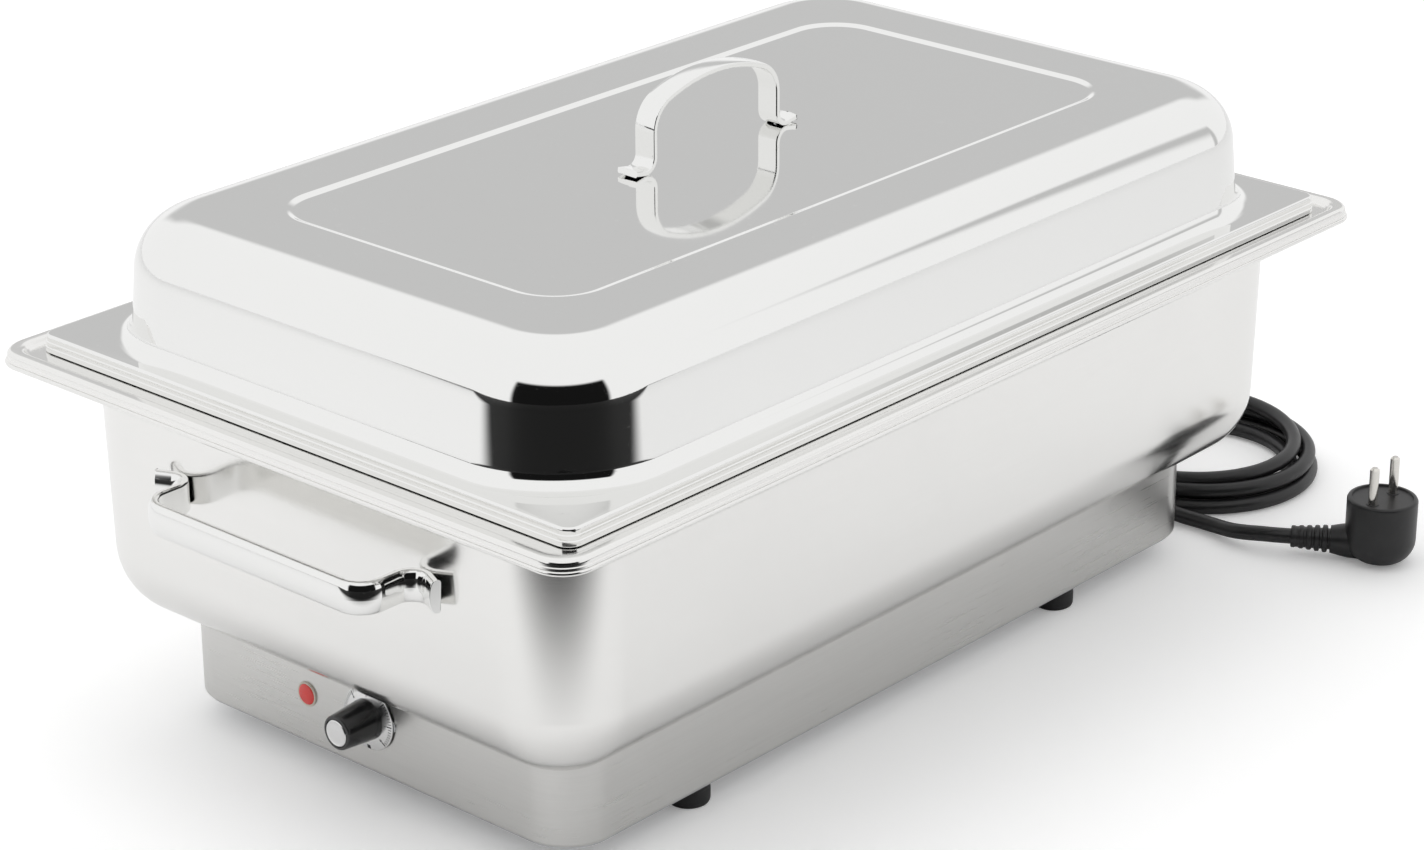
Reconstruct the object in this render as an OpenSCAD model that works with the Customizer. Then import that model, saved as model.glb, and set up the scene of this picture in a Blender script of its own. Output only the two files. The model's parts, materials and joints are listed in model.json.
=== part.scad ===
// Electric buffet server: a domed lid and a GN 1/1 food pan on a deep-drawn water tank,
// which stands on a housing with the heater, thermostat and mains connection.
// X is the width, Y the length with the controls at -Y, and Z is up from the floor.

/* [Base housing] */
// Width of the housing
base_w = 250; // [210:1:262]
// Length of the housing
base_l = 462; // [380:1:474]
// Height of the housing
base_h = 43; // [38:1:80]
// Corner radius of the housing
base_r = 24; // [16:1:30]
// Thickness of all the sheet steel
sheet_t = 1; // [0.8:0.1:1.2]

/* [Feet] */
// Height of the feet
foot_h = 12; // [9:0.5:20]
// Diameter of a foot
foot_d = 20; // [16:1:24]
// Distance of a foot's centre from the side of the housing
foot_side_inset = 13; // [13:0.5:20]
// Distance of the front feet from the front of the housing
foot_front_inset = 90; // [60:1:110]
// Distance of the rear feet from the rear of the housing
foot_rear_inset = 101; // [60:1:110]

/* [Tank] */
// Width of the tank at the top
tank_w = 310; // [300:1:312]
// Length of the tank at the top
tank_l = 528; // [490:1:528]
// Height of the tank from its floor to the ledge of its rim
tank_h = 127.5; // [110:0.5:200]
// Corner radius of the tank
tank_r = 40; // [38:1:48]
// Radius between the tank's wall and its floor
tank_floor_r = 36; // [24:1:36]
// Slope of the tank's wall from the vertical
tank_draft = 1.2; // [0:0.1:1.5]
// Width of the rim
rim_w = 355; // [345:1:400]
// Length of the rim
rim_l = 569; // [560:1:660]
// Corner radius of the rim
rim_r = 15; // [12:0.5:20]
// Rise of the rim's outer lip above the ledge
lip_rise = 2.7; // [1.5:0.1:4]
// Width of the rim's outer lip
lip_w = 9; // [6:0.5:9]
// Height of the down-turned edge of the rim
rim_skirt_h = 7; // [5:0.5:12]

/* [Food pan] */
// Width of the food pan's flange
pan_w = 325; // [318:1:325]
// Length of the food pan's flange
pan_l = 530; // [510:1:530]
// Corner radius of the pan's flange
pan_flange_r = 8; // [6:0.5:12]
// Width of the pan's flange
pan_flange_w = 12; // [11:0.5:14]
// Depth of the food pan
pan_depth = 65; // [40:1:100]
// Corner radius of the food pan
pan_r = 44; // [42:1:50]
// Radius between the pan's wall and its floor
pan_floor_r = 14; // [8:1:24]
// Height of the down-turned edge of the pan's flange
pan_edge_h = 7.5; // [5:0.5:10]

/* [Lid] */
// Gap between the pan's flange and the skirt of the lid
lid_clearance = 1.5; // [0.8:0.1:2.5]
// Extra gap at the ends of the lid
lid_end_extra = 1; // [0:0.5:3]
// Height of the lid's skirt
lid_skirt_h = 8; // [4:0.5:9]
// Width of the dome at its foot
dome_w = 300; // [280:1:304]
// Length of the dome at its foot
dome_l = 511; // [470:1:512]
// Corner radius of the dome
dome_r = 54; // [44:1:60]
// Height of the dome above the lid's flange
dome_h = 57; // [40:0.5:100]
// Radius between the dome's wall and its top
dome_shoulder_r = 26; // [12:1:30]
// Slope of the dome's wall from the vertical
dome_draft = 5.2; // [0:0.1:6]
// Width of the recessed panel on the lid
panel_w = 180; // [140:1:220]
// Length of the recessed panel on the lid
panel_l = 390; // [300:1:430]
// Depth of the recessed panel
panel_drop = 1.1; // [0.5:0.1:3]

/* [Handles] */
// Thickness of the end handles' bar
bar_t = 5; // [4:0.1:6]
// Width of the end handles' bar
bar_w = 15; // [12:0.5:20]
// Thickness of the lid handle's bar
lid_bar_t = 3; // [2.8:0.1:4]
// Width of the lid handle's bar
lid_bar_w = 12; // [10:0.5:16]
// Distance between the legs of the lid handle
lid_handle_span = 86; // [70:1:120]
// Height of the lid handle
lid_handle_h = 41; // [30:1:60]
// Distance between the arms of an end handle
end_handle_span = 138; // [110:1:180]
// Distance that an end handle stands out from the tank
end_handle_reach = 33; // [30:1:50]
// Height of an end handle's centre above the tank's floor
end_handle_z = 83.5; // [60:0.5:92]

/* [Controls] */
// Distance of the knob from the middle of the front
knob_x = 3; // [-30:1:60]
// Height of the knob above the bottom of the housing
knob_z = 27.5; // [22:0.5:30]
// Diameter of the dial skirt
dial_d = 30.6; // [26:0.1:34]
// Diameter of the knob at the dial
knob_d = 19.5; // [17:0.5:24]
// Length of the knob in front of the dial
knob_len = 18.5; // [14:0.5:26]
// Diameter of the thermostat's shaft
shaft_d = 6; // [5:0.5:7]
// Running clearance around the thermostat's shaft
shaft_clearance = 0.05; // [0.02:0.01:0.1]
// Distance of the lamp from the middle of the front
lamp_x = -38; // [-90:1:-30]
// Height of the lamp above the bottom of the housing
lamp_z = 25.5; // [16:0.5:30]
// Diameter of the lamp's lens
lamp_d = 12; // [9:0.5:14]

/* [Mains lead] */
// Diameter of the mains lead
cord_d = 8; // [7:0.5:9]
// Radius of the coil at the middle of its turns
coil_r = 56; // [48:1:60]
// Width of the bundle of turns
coil_bundle_w = 20; // [16:1:24]
// Height of the bundle of turns
coil_bundle_h = 24; // [16:1:26]
// Diameter of the plug's body
plug_d = 36; // [34:1:38]
// Height of the plug's body
plug_h = 35; // [32:1:38]

/* [Hidden] */
$fn = 48;
e = 0.01;

housing_z = foot_h;
deck_z = foot_h + base_h;
floor_z = deck_z;
ledge_z = floor_z + tank_h;
lip_z = ledge_z + lip_rise;
rim_bottom_z = lip_z - rim_skirt_h;
bead_d = 2.4;

pan_flange_z = ledge_z + pan_edge_h;
pan_floor_z = pan_flange_z - pan_depth;
lid_flange_z = pan_flange_z;
lid_w = pan_w + 2 * (lid_clearance + sheet_t);
lid_l = pan_l + 2 * (lid_clearance + lid_end_extra + sheet_t);
lid_r = 7.5;
lid_foot_r = 6;
lid_screw_bite = 2.4;
washer_t = 1;
dome_top_z = lid_flange_z + sheet_t + dome_h;
roof_z = dome_top_z - sheet_t;
panel_z = dome_top_z - panel_drop;
panel_r = 25;

front_y = -base_l / 2;
rear_y = base_l / 2;
axis_z = housing_z + knob_z;
lamp_axis_z = housing_z + lamp_z;
stack_gap = 0.8;
dial_t = 1.5;
dial_y = front_y - stack_gap;
knob_y = dial_y - dial_t;
shaft_tip_y = knob_y - knob_len + 4;
thermostat_depth = 30;
bulb_d = 6;
bulb_x = -90;
bulb_z = floor_z - bulb_d / 2;
wire_d = 2.4;

screw_d = 4;
screw_gap = 0.3;
stud_d = 5;
weld_bite = 0.3;

plate_gap = 2;
plate_z = housing_z - sheet_t;
foot_x = base_w / 2 - foot_side_inset;
foot_ys = [front_y + foot_front_inset, rear_y - foot_rear_inset];
rail_w = 14;
plate_screw_inset = 9;
stud_x = base_w / 2 - rail_w + 3;
stud_ys = [-base_l / 2 + 70, base_l / 2 - 70];

heater_d = 8;
heat_plate_w = 120;
heat_plate_l = 260;
heat_plate_t = 3;
heat_plate_z = floor_z - heat_plate_t;
heater_z = heat_plate_z - heater_d / 2;
heater_span = 70;
heater_l = 200;
heater_tail = 25;
clamp_t = 2;
clamp_z = heater_z - heater_d / 2 - clamp_t;
clamp_ys = [-70, 70];
insulation_t = 6;
insulation_z = clamp_z - 6 - insulation_t;
shield_z = insulation_z - sheet_t;

block_y = rear_y - 70;

gland_x = -30;
gland_z = 33;
gland_d = 16;
gland_len = 24;

// Points of the free mains lead, from the gland down to the coil, and from the coil to the plug.
exit_route = [
    [-30, 255, 33], [-30, 268, 32], [-29, 282, 30], [-25, 296, 26], [-17, 306, 21], [-7, 311, 16],
    [3, 310, 12], [12, 304, 9]
];
coil_x = 67;
coil_y = 316;

plug_x = 206;
plug_y = 281;
plug_pin_gap = 19;
plug_pin_d = 4.8;
plug_pin_len = 19;
neck_angle = 31;
neck_z = 9.5;
neck_len = 7;
relief_len = 20;
relief_d = 14;
neck_reach = plug_d / 2 + neck_len + relief_len;
plug_end = [plug_x - neck_reach * cos(neck_angle), plug_y - neck_reach * sin(neck_angle), neck_z];
lead_route = [
    [40, 257, 20], [56, 252, 16], [72, 249.5, 11], [88, 249.5, 7], [103, 250.5, 5], [115, 252, 4.5],
    [126, 251.5, 5], [137, 249.5, 6.5], [146, 249.5, 8], [154, 251.5, 9],
    plug_end - 8 * [cos(neck_angle), sin(neck_angle), 0], plug_end
];

// ---------------------------------------------------------------- shared shapes

module rounded_rect(w, l, r) {
    square([w - 2 * r, l], center = true);
    square([w, l - 2 * r], center = true);
    for (x = [-1, 1], y = [-1, 1]) translate([x * (w / 2 - r), y * (l / 2 - r)]) circle(r);
}

module rounded_plate(w, l, r, z, h) {
    translate([0, 0, z]) linear_extrude(h) rounded_rect(w, l, r);
}

// Carries a profile around a rounded rectangle. The profile's x runs out from the centre of the
// corner arcs, which stand at half_x and half_y, and its y runs up.
module around(half_x, half_y) {
    for (i = [0:3]) {
        sx = (i == 0 || i == 3) ? 1 : -1;
        sy = i < 2 ? 1 : -1;
        translate([sx * half_x, sy * half_y, 0]) rotate([0, 0, 90 * i])
            rotate_extrude(angle = 90, $fn = 96) children();
    }
    for (s = [0, 180]) {
        rotate([0, 0, s]) translate([half_x, half_y, 0]) rotate([90, 0, 0]) linear_extrude(2 * half_y) children();
        rotate([0, 0, s]) translate([-half_x, half_y, 0]) rotate([90, 0, 90]) linear_extrude(2 * half_x) children();
    }
}

// Section of a sheet dish below or above its mouth: a sloping wall, a round bend and a flat floor.
// s is -1 where the floor is under the mouth, and 1 where it is a roof above it.
module dish_section(mouth_x, mouth_z, floor_z, bend_r, draft, s) {
    bend_z = floor_z - s * bend_r;
    bend_x = mouth_x - tan(draft) * abs(bend_z - mouth_z);
    inner_r = bend_r - sheet_t;
    polygon([
        [mouth_x, mouth_z], [bend_x, bend_z], [bend_x - sheet_t, bend_z], [mouth_x - sheet_t, mouth_z]
    ]);
    intersection() {
        translate([bend_x - bend_r, bend_z]) difference() {
            circle(bend_r, $fn = 96);
            circle(inner_r, $fn = 96);
        }
        translate([bend_x - bend_r, s > 0 ? bend_z : bend_z - bend_r]) square(bend_r);
    }
    if (bend_x > bend_r) translate([0, s > 0 ? floor_z - sheet_t : floor_z]) square([bend_x - bend_r, sheet_t]);
}

// A flat bar bent along a list of straight runs and arcs, drawn as a ribbon in the plane.
// Each step is [length, 0] for a run or [radius, angle] for an arc, to the left if positive.
function turn(p, s) =
    s[1] == 0 ? [p[0] + s[0] * cos(p[2]), p[1] + s[0] * sin(p[2]), p[2]]
    : let (side = sign(s[1]), cx = p[0] - side * s[0] * sin(p[2]), cy = p[1] + side * s[0] * cos(p[2]))
        [cx + side * s[0] * sin(p[2] + s[1]), cy - side * s[0] * cos(p[2] + s[1]), p[2] + s[1]];

module ribbon(start, steps, t, i = 0) {
    lap = 0.002;
    s = steps[i];
    translate([start[0], start[1]]) rotate(start[2]) {
        if (s[1] == 0) translate([-lap, lap - t / 2]) square([s[0] + 2 * lap, t - 2 * lap]);
        else arc_band(s[0], s[1], t);
    }
    if (i < len(steps) - 1) ribbon(turn(start, s), steps, t, i + 1);
}

module arc_band(r, a, t) {
    side = sign(a);
    big = 2 * (r + t);
    translate([0, side * r]) difference() {
        circle(r + t / 2, $fn = 64);
        circle(r - t / 2, $fn = 64);
        for (k = [0, 1]) rotate(k * a) translate([k == 0 ? -big : 0, -big / 2 ]) square([big, big]);
        if (abs(a) < 90) translate([-big / 2, side > 0 ? 0 : -big]) square([big, big]);
    }
}

// Screw with a pan head under the plane z = 0 and its shank going up
module screw(d, length, head_d, head_h) {
    translate([0, 0, -e]) cylinder(d = d, h = length + e);
    translate([0, 0, -head_h]) cylinder(d = head_d, h = head_h);
}

module hex_nut(d, across, h) {
    difference() {
        cylinder(d = across / cos(30), h = h, $fn = 6);
        translate([0, 0, -1]) cylinder(d = d, h = h + 2);
    }
}

// Tube swept along a route of points
function direction(p, i) =
    let (a = p[max(i - 1, 0)], b = p[min(i + 1, len(p) - 1)]) (b - a) / norm(b - a);
function tube_ring(p, i, d, sides) =
    let (t = direction(p, i), u = cross(t, [0, 0, 1]) / norm(cross(t, [0, 0, 1])), v = cross(u, t))
        [for (k = [0:sides - 1]) p[i] + d / 2 * (cos(360 * k / sides) * u + sin(360 * k / sides) * v)];

module tube(p, d, sides = 10) {
    points = [for (i = [0:len(p) - 1]) each tube_ring(p, i, d, sides)];
    walls = [
        for (i = [0:len(p) - 2], k = [0:sides - 1])
            let (a = i * sides + k, b = i * sides + (k + 1) % sides)
                each [[a, b, a + sides], [b, b + sides, a + sides]]
    ];
    first = [for (k = [sides - 1:-1:0]) k];
    last = [for (k = [0:sides - 1]) (len(p) - 1) * sides + k];
    polyhedron(points = points, faces = concat(walls, [first, last]));
}

module at_feet() {
    for (x = [-foot_x, foot_x], y = foot_ys) translate([x, y, 0]) children();
}

module at_tank_studs() {
    for (x = [-stud_x, stud_x], y = stud_ys) translate([x, y, 0]) children();
}

module at_clamp_studs() {
    for (x = [-1, 1], y = clamp_ys) translate([x * (heater_span / 2 + 14), y, 0]) children();
}

module at_plate_screws() {
    for (x = [-1, 1], y = [-1, 0, 1])
        translate([x * (base_w / 2 - plate_screw_inset), y * (base_l / 2 - 42), 0]) children();
}

module at_lid_screws() {
    for (y = [-1, 1]) translate([0, y * (lid_handle_span / 2 + lid_foot_r), panel_z]) children();
}

module at_thermostat_screws() {
    for (x = [-14, 14]) translate([knob_x + x, front_y, axis_z]) children();
}

// ---------------------------------------------------------------- housing

module base_housing() {
    color("lightgray") difference() {
        union() {
            difference() {
                rounded_plate(base_w, base_l, base_r, housing_z, base_h);
                rounded_plate(base_w - 2 * sheet_t, base_l - 2 * sheet_t, base_r - sheet_t, housing_z - 1, base_h + 2);
            }
            for (z = [housing_z, deck_z - sheet_t]) difference() {
                rounded_plate(base_w - sheet_t, base_l - sheet_t, base_r - sheet_t / 2, z, sheet_t);
                rounded_plate(base_w - 2 * rail_w, base_l - 2 * rail_w, base_r - rail_w + 2, z - 1, sheet_t + 2);
            }
        }
        translate([knob_x, front_y - 1, axis_z]) rotate([-90, 0, 0]) cylinder(d = 9, h = 4);
        at_thermostat_screws() translate([0, -1, 0]) rotate([-90, 0, 0]) cylinder(d = 3 + 2 * screw_gap, h = 4);
        translate([lamp_x, front_y - 1, lamp_axis_z]) rotate([-90, 0, 0]) cylinder(d = lamp_d - 2 + 2 * screw_gap, h = 4);
        translate([gland_x, rear_y - 3, gland_z]) rotate([-90, 0, 0]) cylinder(d = gland_d + 2 * screw_gap, h = 6);
        at_tank_studs() translate([0, 0, deck_z - 3]) cylinder(d = stud_d + 2 * screw_gap, h = 6);
        at_plate_screws() translate([0, 0, housing_z - 2]) cylinder(d = screw_d, h = 5);
        at_feet() translate([0, 0, housing_z - 2]) cylinder(d = foot_d - 4, h = 5);
    }
}

module bottom_plate() {
    vent_w = 3;
    color("silver") difference() {
        rounded_plate(base_w - 2 * plate_gap, base_l - 2 * plate_gap, base_r - plate_gap, plate_z, sheet_t);
        at_plate_screws() translate([0, 0, plate_z - 1]) cylinder(d = screw_d + 2 * screw_gap, h = 4);
        at_feet() translate([0, 0, plate_z - 1]) cylinder(d = screw_d + 2 * screw_gap, h = 4);
        for (x = [-60, 60], i = [-4:4]) translate([x - 20, i * 12 - vent_w / 2, plate_z - 1]) cube([40, vent_w, 4]);
    }
}

module bottom_screws() {
    color("silver") at_plate_screws() translate([0, 0, plate_z]) screw(screw_d, 8, 7.5, 2.4);
}

module feet() {
    color("#202020") at_feet() difference() {
        union() {
            cylinder(d1 = foot_d - 2, d2 = foot_d, h = 1.5);
            translate([0, 0, 1.5]) cylinder(d = foot_d, h = plate_z - 1.5);
        }
        translate([0, 0, -1]) cylinder(d = 9, h = 6);
        translate([0, 0, 2]) cylinder(d = screw_d + 2 * screw_gap, h = foot_h);
    }
}

module foot_screws() {
    color("silver") at_feet() translate([0, 0, 5]) screw(screw_d, foot_h - 1, 8, 2.6);
}

module foot_nuts() {
    color("silver") at_feet() translate([0, 0, housing_z]) hex_nut(screw_d, 7, 3);
}

// ---------------------------------------------------------------- tank

module water_tank() {
    half_x = tank_w / 2 - tank_r;
    half_y = tank_l / 2 - tank_r;
    color("gainsboro") {
        around(half_x, half_y) dish_section(tank_r, ledge_z, floor_z, tank_floor_r, tank_draft, -1);
        translate([-half_x, -half_y, floor_z]) cube([2 * half_x, 2 * half_y, sheet_t]);
        difference() {
            rounded_plate(rim_w - 2 * lip_w, rim_l - 2 * lip_w, rim_r - lip_w / 2, ledge_z - sheet_t, sheet_t);
            rounded_plate(tank_w - 1, tank_l - 1, tank_r - 0.5, ledge_z - 3, 6);
        }
        difference() {
            rounded_plate(rim_w, rim_l, rim_r, ledge_z - sheet_t, lip_rise + sheet_t);
            rounded_plate(rim_w - 2 * lip_w, rim_l - 2 * lip_w, rim_r - lip_w / 2, ledge_z - 3, lip_rise + 9);
            rounded_plate(rim_w - 2 * sheet_t, rim_l - 2 * sheet_t, rim_r - sheet_t, ledge_z - 3, lip_rise + 3 - sheet_t);
        }
        difference() {
            rounded_plate(rim_w - 2 * lip_w + 2 * sheet_t, rim_l - 2 * lip_w + 2 * sheet_t, rim_r - lip_w / 2 + sheet_t,
                ledge_z - sheet_t, lip_rise + sheet_t);
            rounded_plate(rim_w - 2 * lip_w, rim_l - 2 * lip_w, rim_r - lip_w / 2, ledge_z - 3, lip_rise + 9);
        }
        difference() {
            rounded_plate(rim_w, rim_l, rim_r, rim_bottom_z, rim_skirt_h);
            rounded_plate(rim_w - 2 * sheet_t, rim_l - 2 * sheet_t, rim_r - sheet_t, rim_bottom_z - 1, rim_skirt_h + 3);
        }
        difference() {
            rounded_plate(rim_w + bead_d, rim_l + bead_d, rim_r + bead_d / 2, rim_bottom_z, bead_d);
            rounded_plate(rim_w - sheet_t, rim_l - sheet_t, rim_r - sheet_t / 2, rim_bottom_z - 1, bead_d + 2);
        }
    }
}

module tank_studs() {
    color("silver") at_tank_studs() translate([0, 0, floor_z - 12]) cylinder(d = stud_d, h = 12);
    color("silver") at_clamp_studs() translate([0, 0, clamp_z - 8]) cylinder(d = stud_d, h = floor_z - clamp_z + 8);
}

module tank_nuts() {
    color("silver") at_tank_studs() translate([0, 0, deck_z - sheet_t - 4]) hex_nut(stud_d, 8, 4);
    color("silver") at_clamp_studs() translate([0, 0, clamp_z - 4]) hex_nut(stud_d, 8, 4);
}

// ---------------------------------------------------------------- heater

module heat_plate() {
    color("silver") difference() {
        translate([-heat_plate_w / 2, -heat_plate_l / 2, heat_plate_z]) cube([heat_plate_w, heat_plate_l, heat_plate_t]);
        at_clamp_studs() translate([0, 0, heat_plate_z - 1]) cylinder(d = stud_d + 2 * screw_gap, h = heat_plate_t + 2);
    }
}

module heating_element() {
    color("dimgray") {
        for (x = [-1, 1]) translate([x * heater_span / 2, -heater_l / 2, heater_z]) rotate([-90, 0, 0])
            cylinder(d = heater_d, h = heater_l);
        translate([0, heater_l / 2, heater_z]) rotate_extrude(angle = 180)
            translate([heater_span / 2, 0]) circle(d = heater_d);
        for (x = [-1, 1]) translate([x * heater_span / 2, -heater_l / 2 - heater_tail, heater_z]) rotate([-90, 0, 0])
            cylinder(d = 4, h = heater_tail + e);
    }
}

module heater_clamps() {
    color("silver") for (y = clamp_ys) difference() {
        translate([-heater_span / 2 - 21, y - 9, clamp_z]) cube([heater_span + 42, 18, clamp_t]);
        at_clamp_studs() translate([0, 0, clamp_z - 1]) cylinder(d = stud_d + 2 * screw_gap, h = clamp_t + 2);
    }
}

module insulation_blanket() {
    color("khaki") difference() {
        translate([-heat_plate_w / 2 - 5, -heat_plate_l / 2 + 15, insulation_z])
            cube([heat_plate_w + 10, heat_plate_l - 10, insulation_t]);
        at_clamp_studs() translate([0, 0, insulation_z - 1]) cylinder(d = 11, h = insulation_t + 2);
    }
}

module heat_shield() {
    shield_w = heat_plate_w + 20;
    shield_l = heat_plate_l;
    leg_h = shield_z - housing_z;
    color("silver") {
        translate([-shield_w / 2, -shield_l / 2 + 10, shield_z]) cube([shield_w, shield_l, sheet_t]);
        for (x = [-1, 1]) translate([x * (shield_w / 2 - sheet_t / 2) - sheet_t / 2, -shield_l / 2 + 10, housing_z])
            cube([sheet_t, shield_l, leg_h + e]);
    }
}

// ---------------------------------------------------------------- thermostat and knob

module thermostat_body() {
    body_y = front_y + sheet_t;
    color("dimgray") difference() {
        union() {
            translate([knob_x - 18, body_y, axis_z - 1 - 15]) cube([36, thermostat_depth, 30]);
            translate([knob_x, front_y - 0.4, axis_z]) rotate([-90, 0, 0]) cylinder(d = 8.4, h = 6);
            for (x = [-8, 8]) translate([knob_x + x - 3, body_y + thermostat_depth - e, axis_z - 6]) cube([6, 8, 1]);
        }
        translate([knob_x, front_y - 2, axis_z]) rotate([-90, 0, 0]) cylinder(d = shaft_d + 2 * shaft_clearance, h = 24);
        at_thermostat_screws() translate([0, -1, 0]) rotate([-90, 0, 0]) cylinder(d = 3, h = 9);
    }
}

module thermostat_screws() {
    color("silver") at_thermostat_screws() translate([0, -0.6, 0]) rotate([-90, 0, 0]) {
        cylinder(d = 5.2, h = 0.6);
        cylinder(d = 3, h = 7);
    }
}

module thermostat_bulb() {
    color("peru") translate([bulb_x, -120, bulb_z]) rotate([-90, 0, 0]) cylinder(d = bulb_d, h = 90);
}

module capillary() {
    end_y = front_y + sheet_t + thermostat_depth;
    color("peru") tube([
        [bulb_x, -120, bulb_z], [bulb_x, -132, bulb_z], [bulb_x + 2, -145, bulb_z - 2], [-78, -158, 46],
        [-60, -170, 42], [-38, -180, 40], [-20, -184, 40], [-12, -190, 40], [-10, end_y, 40]
    ], 1.6, 8);
}

module bulb_clip() {
    color("silver") for (y = [-105, -50]) difference() {
        translate([bulb_x - 6, y - 5, floor_z - bulb_d - 1]) cube([12, 10, bulb_d + 1]);
        translate([bulb_x, y - 6, bulb_z]) rotate([-90, 0, 0]) cylinder(d = bulb_d, h = 12);
        translate([bulb_x - 2.5, y - 6, bulb_z]) cube([5, 12, bulb_d]);
    }
}

module thermal_cutout() {
    color("beige") translate([88, -60, floor_z - 5]) cylinder(d = 16, h = 5);
    color("silver") for (x = [-4, 4]) translate([88 + x - 2, -60 - 0.4, floor_z - 13]) cube([4, 0.8, 8 + e]);
}

module thermostat_shaft() {
    flat_depth = 1.5;
    color("silver") difference() {
        translate([knob_x, shaft_tip_y, axis_z]) rotate([-90, 0, 0]) cylinder(d = shaft_d, h = front_y + 16 - shaft_tip_y);
        translate([knob_x - 5, shaft_tip_y - 1, axis_z + shaft_d / 2 - flat_depth]) cube([10, knob_y - shaft_tip_y, 6]);
    }
}

module control_knob() {
    tip_d = knob_d - 3;
    color("#181818") difference() {
        translate([knob_x, knob_y, axis_z]) rotate([90, 0, 0]) {
            cylinder(d1 = knob_d, d2 = tip_d, h = knob_len - 0.8);
            translate([0, 0, knob_len - 0.8]) cylinder(d1 = tip_d, d2 = tip_d - 1.6, h = 0.8);
        }
        translate([knob_x, shaft_tip_y, axis_z]) rotate([-90, 0, 0]) cylinder(d = shaft_d, h = knob_len);
        translate([knob_x, knob_y - knob_len - 1, axis_z]) rotate([-90, 0, 0]) cylinder(d = tip_d - 4, h = 2);
    }
}

module knob_cap() {
    color("whitesmoke") translate([knob_x, knob_y - knob_len - 0.3, axis_z]) rotate([-90, 0, 0])
        cylinder(d = knob_d - 7, h = 1.3);
}

module dial_skirt() {
    color("silver") difference() {
        translate([knob_x, dial_y, axis_z]) rotate([90, 0, 0]) cylinder(d1 = dial_d, d2 = dial_d - 1, h = dial_t);
        translate([knob_x, dial_y + 1, axis_z]) rotate([90, 0, 0]) cylinder(d = shaft_d, h = dial_t + 2);
    }
}

// ---------------------------------------------------------------- lamp and wiring

module lamp_lens() {
    color("red") translate([lamp_x, front_y, lamp_axis_z]) rotate([90, 0, 0]) {
        cylinder(d = lamp_d, h = 1);
        translate([0, 0, 1 - e]) cylinder(d1 = lamp_d - 0.6, d2 = lamp_d - 4, h = 0.9);
    }
}

module lamp_body() {
    color("ivory") translate([lamp_x, front_y, lamp_axis_z]) rotate([-90, 0, 0]) {
        cylinder(d = lamp_d - 2, h = 22);
        for (x = [-2.5, 2.5]) translate([x - 0.4, -2, 22 - e]) cube([0.8, 4, 8]);
    }
}

module lamp_nut() {
    color("silver") translate([lamp_x, front_y + sheet_t, lamp_axis_z]) rotate([-90, 0, 0]) difference() {
        cylinder(d = lamp_d + 6, h = 3, $fn = 6);
        translate([0, 0, -1]) cylinder(d = lamp_d - 2, h = 5);
    }
}

module terminal_block() {
    color("white") difference() {
        translate([-18, block_y, housing_z]) cube([54, 22, 18]);
        for (i = [0:2]) translate([-9 + 18 * i, block_y - 1, housing_z + 10]) rotate([-90, 0, 0]) cylinder(d = 4, h = 24);
        for (i = [0:2], y = [5, 17]) translate([-9 + 18 * i, block_y + y, housing_z + 12]) cylinder(d = 4, h = 10);
    }
}

module terminal_screws() {
    color("khaki") for (i = [0:2], y = [5, 17])
        translate([-9 + 18 * i, block_y + y, housing_z + 12.3]) cylinder(d = 3.4, h = 5.5);
}

module earth_stud() {
    color("silver") translate([60, block_y + 11, housing_z]) {
        cylinder(d = 4, h = 16);
        cylinder(d = 12, h = 1);
    }
}

module earth_nut() {
    color("gold") translate([60, block_y + 11, housing_z + 4]) hex_nut(4, 7, 3.2);
}

module inner_wires() {
    low = housing_z + 10;
    tail_y = -heater_l / 2 - heater_tail;
    color("saddlebrown") tube([
        [-9, block_y + 4, low], [-9, block_y - 4, low], [-22, 148, low], [-60, 147, low], [-80, 138, low],
        [-84, 120, low], [-84, -90, low], [-80, -120, low], [-62, -145, low], [lamp_x - 4, -170, low + 5],
        [lamp_x + 2, -185, lamp_axis_z - 4], [lamp_x + 2.5, front_y + 31, lamp_axis_z]
    ], wire_d, 8);
    color("royalblue") tube([
        [9, block_y + 4, low], [9, block_y - 4, low], [22, 148, low], [60, 147, low], [80, 138, low],
        [84, 120, low], [84, -95, low], [78, -125, low + 2], [62, -142, low + 8], [46, -148, heater_z - 8],
        [heater_span / 2 + 2, tail_y - 12, heater_z - 2], [heater_span / 2, tail_y, heater_z]
    ], wire_d, 8);
    color("limegreen") tube([
        [27, block_y + 4, low], [27, block_y - 7, low], [33, block_y - 14, low], [44, block_y - 14, low],
        [54, block_y - 7, low - 3], [59, block_y + 2, low - 7], [60, block_y + 8.6, housing_z + 2.4]
    ], wire_d, 8);
}

module inner_cable() {
    color("#1c1c1c") tube([
        [9, block_y + 22, 22], [9, block_y + 28, 22], [0, block_y + 40, 23], [-14, block_y + 46, 26],
        [-26, block_y + 51, 30], [gland_x, rear_y - 11, gland_z], [gland_x, rear_y + gland_len, gland_z]
    ], cord_d);
}

module cord_gland() {
    color("#202020") translate([gland_x, rear_y, gland_z]) rotate([-90, 0, 0]) difference() {
        union() {
            translate([0, 0, -10]) cylinder(d = gland_d, h = 10 + e);
            cylinder(d = gland_d + 6, h = 3);
            translate([0, 0, 3]) cylinder(d1 = gland_d, d2 = cord_d + 3, h = gland_len - 3);
        }
        translate([0, 0, -11]) cylinder(d = cord_d, h = gland_len + 12);
    }
}

module cord_clamp() {
    color("#303030") translate([gland_x, rear_y - sheet_t, gland_z]) rotate([90, 0, 0]) difference() {
        cylinder(d = gland_d + 8, h = 5, $fn = 6);
        translate([0, 0, -1]) cylinder(d = gland_d, h = 7);
    }
}

// ---------------------------------------------------------------- mains lead

module mains_cord_exit() {
    color("#1c1c1c") tube(exit_route, cord_d);
}

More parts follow.
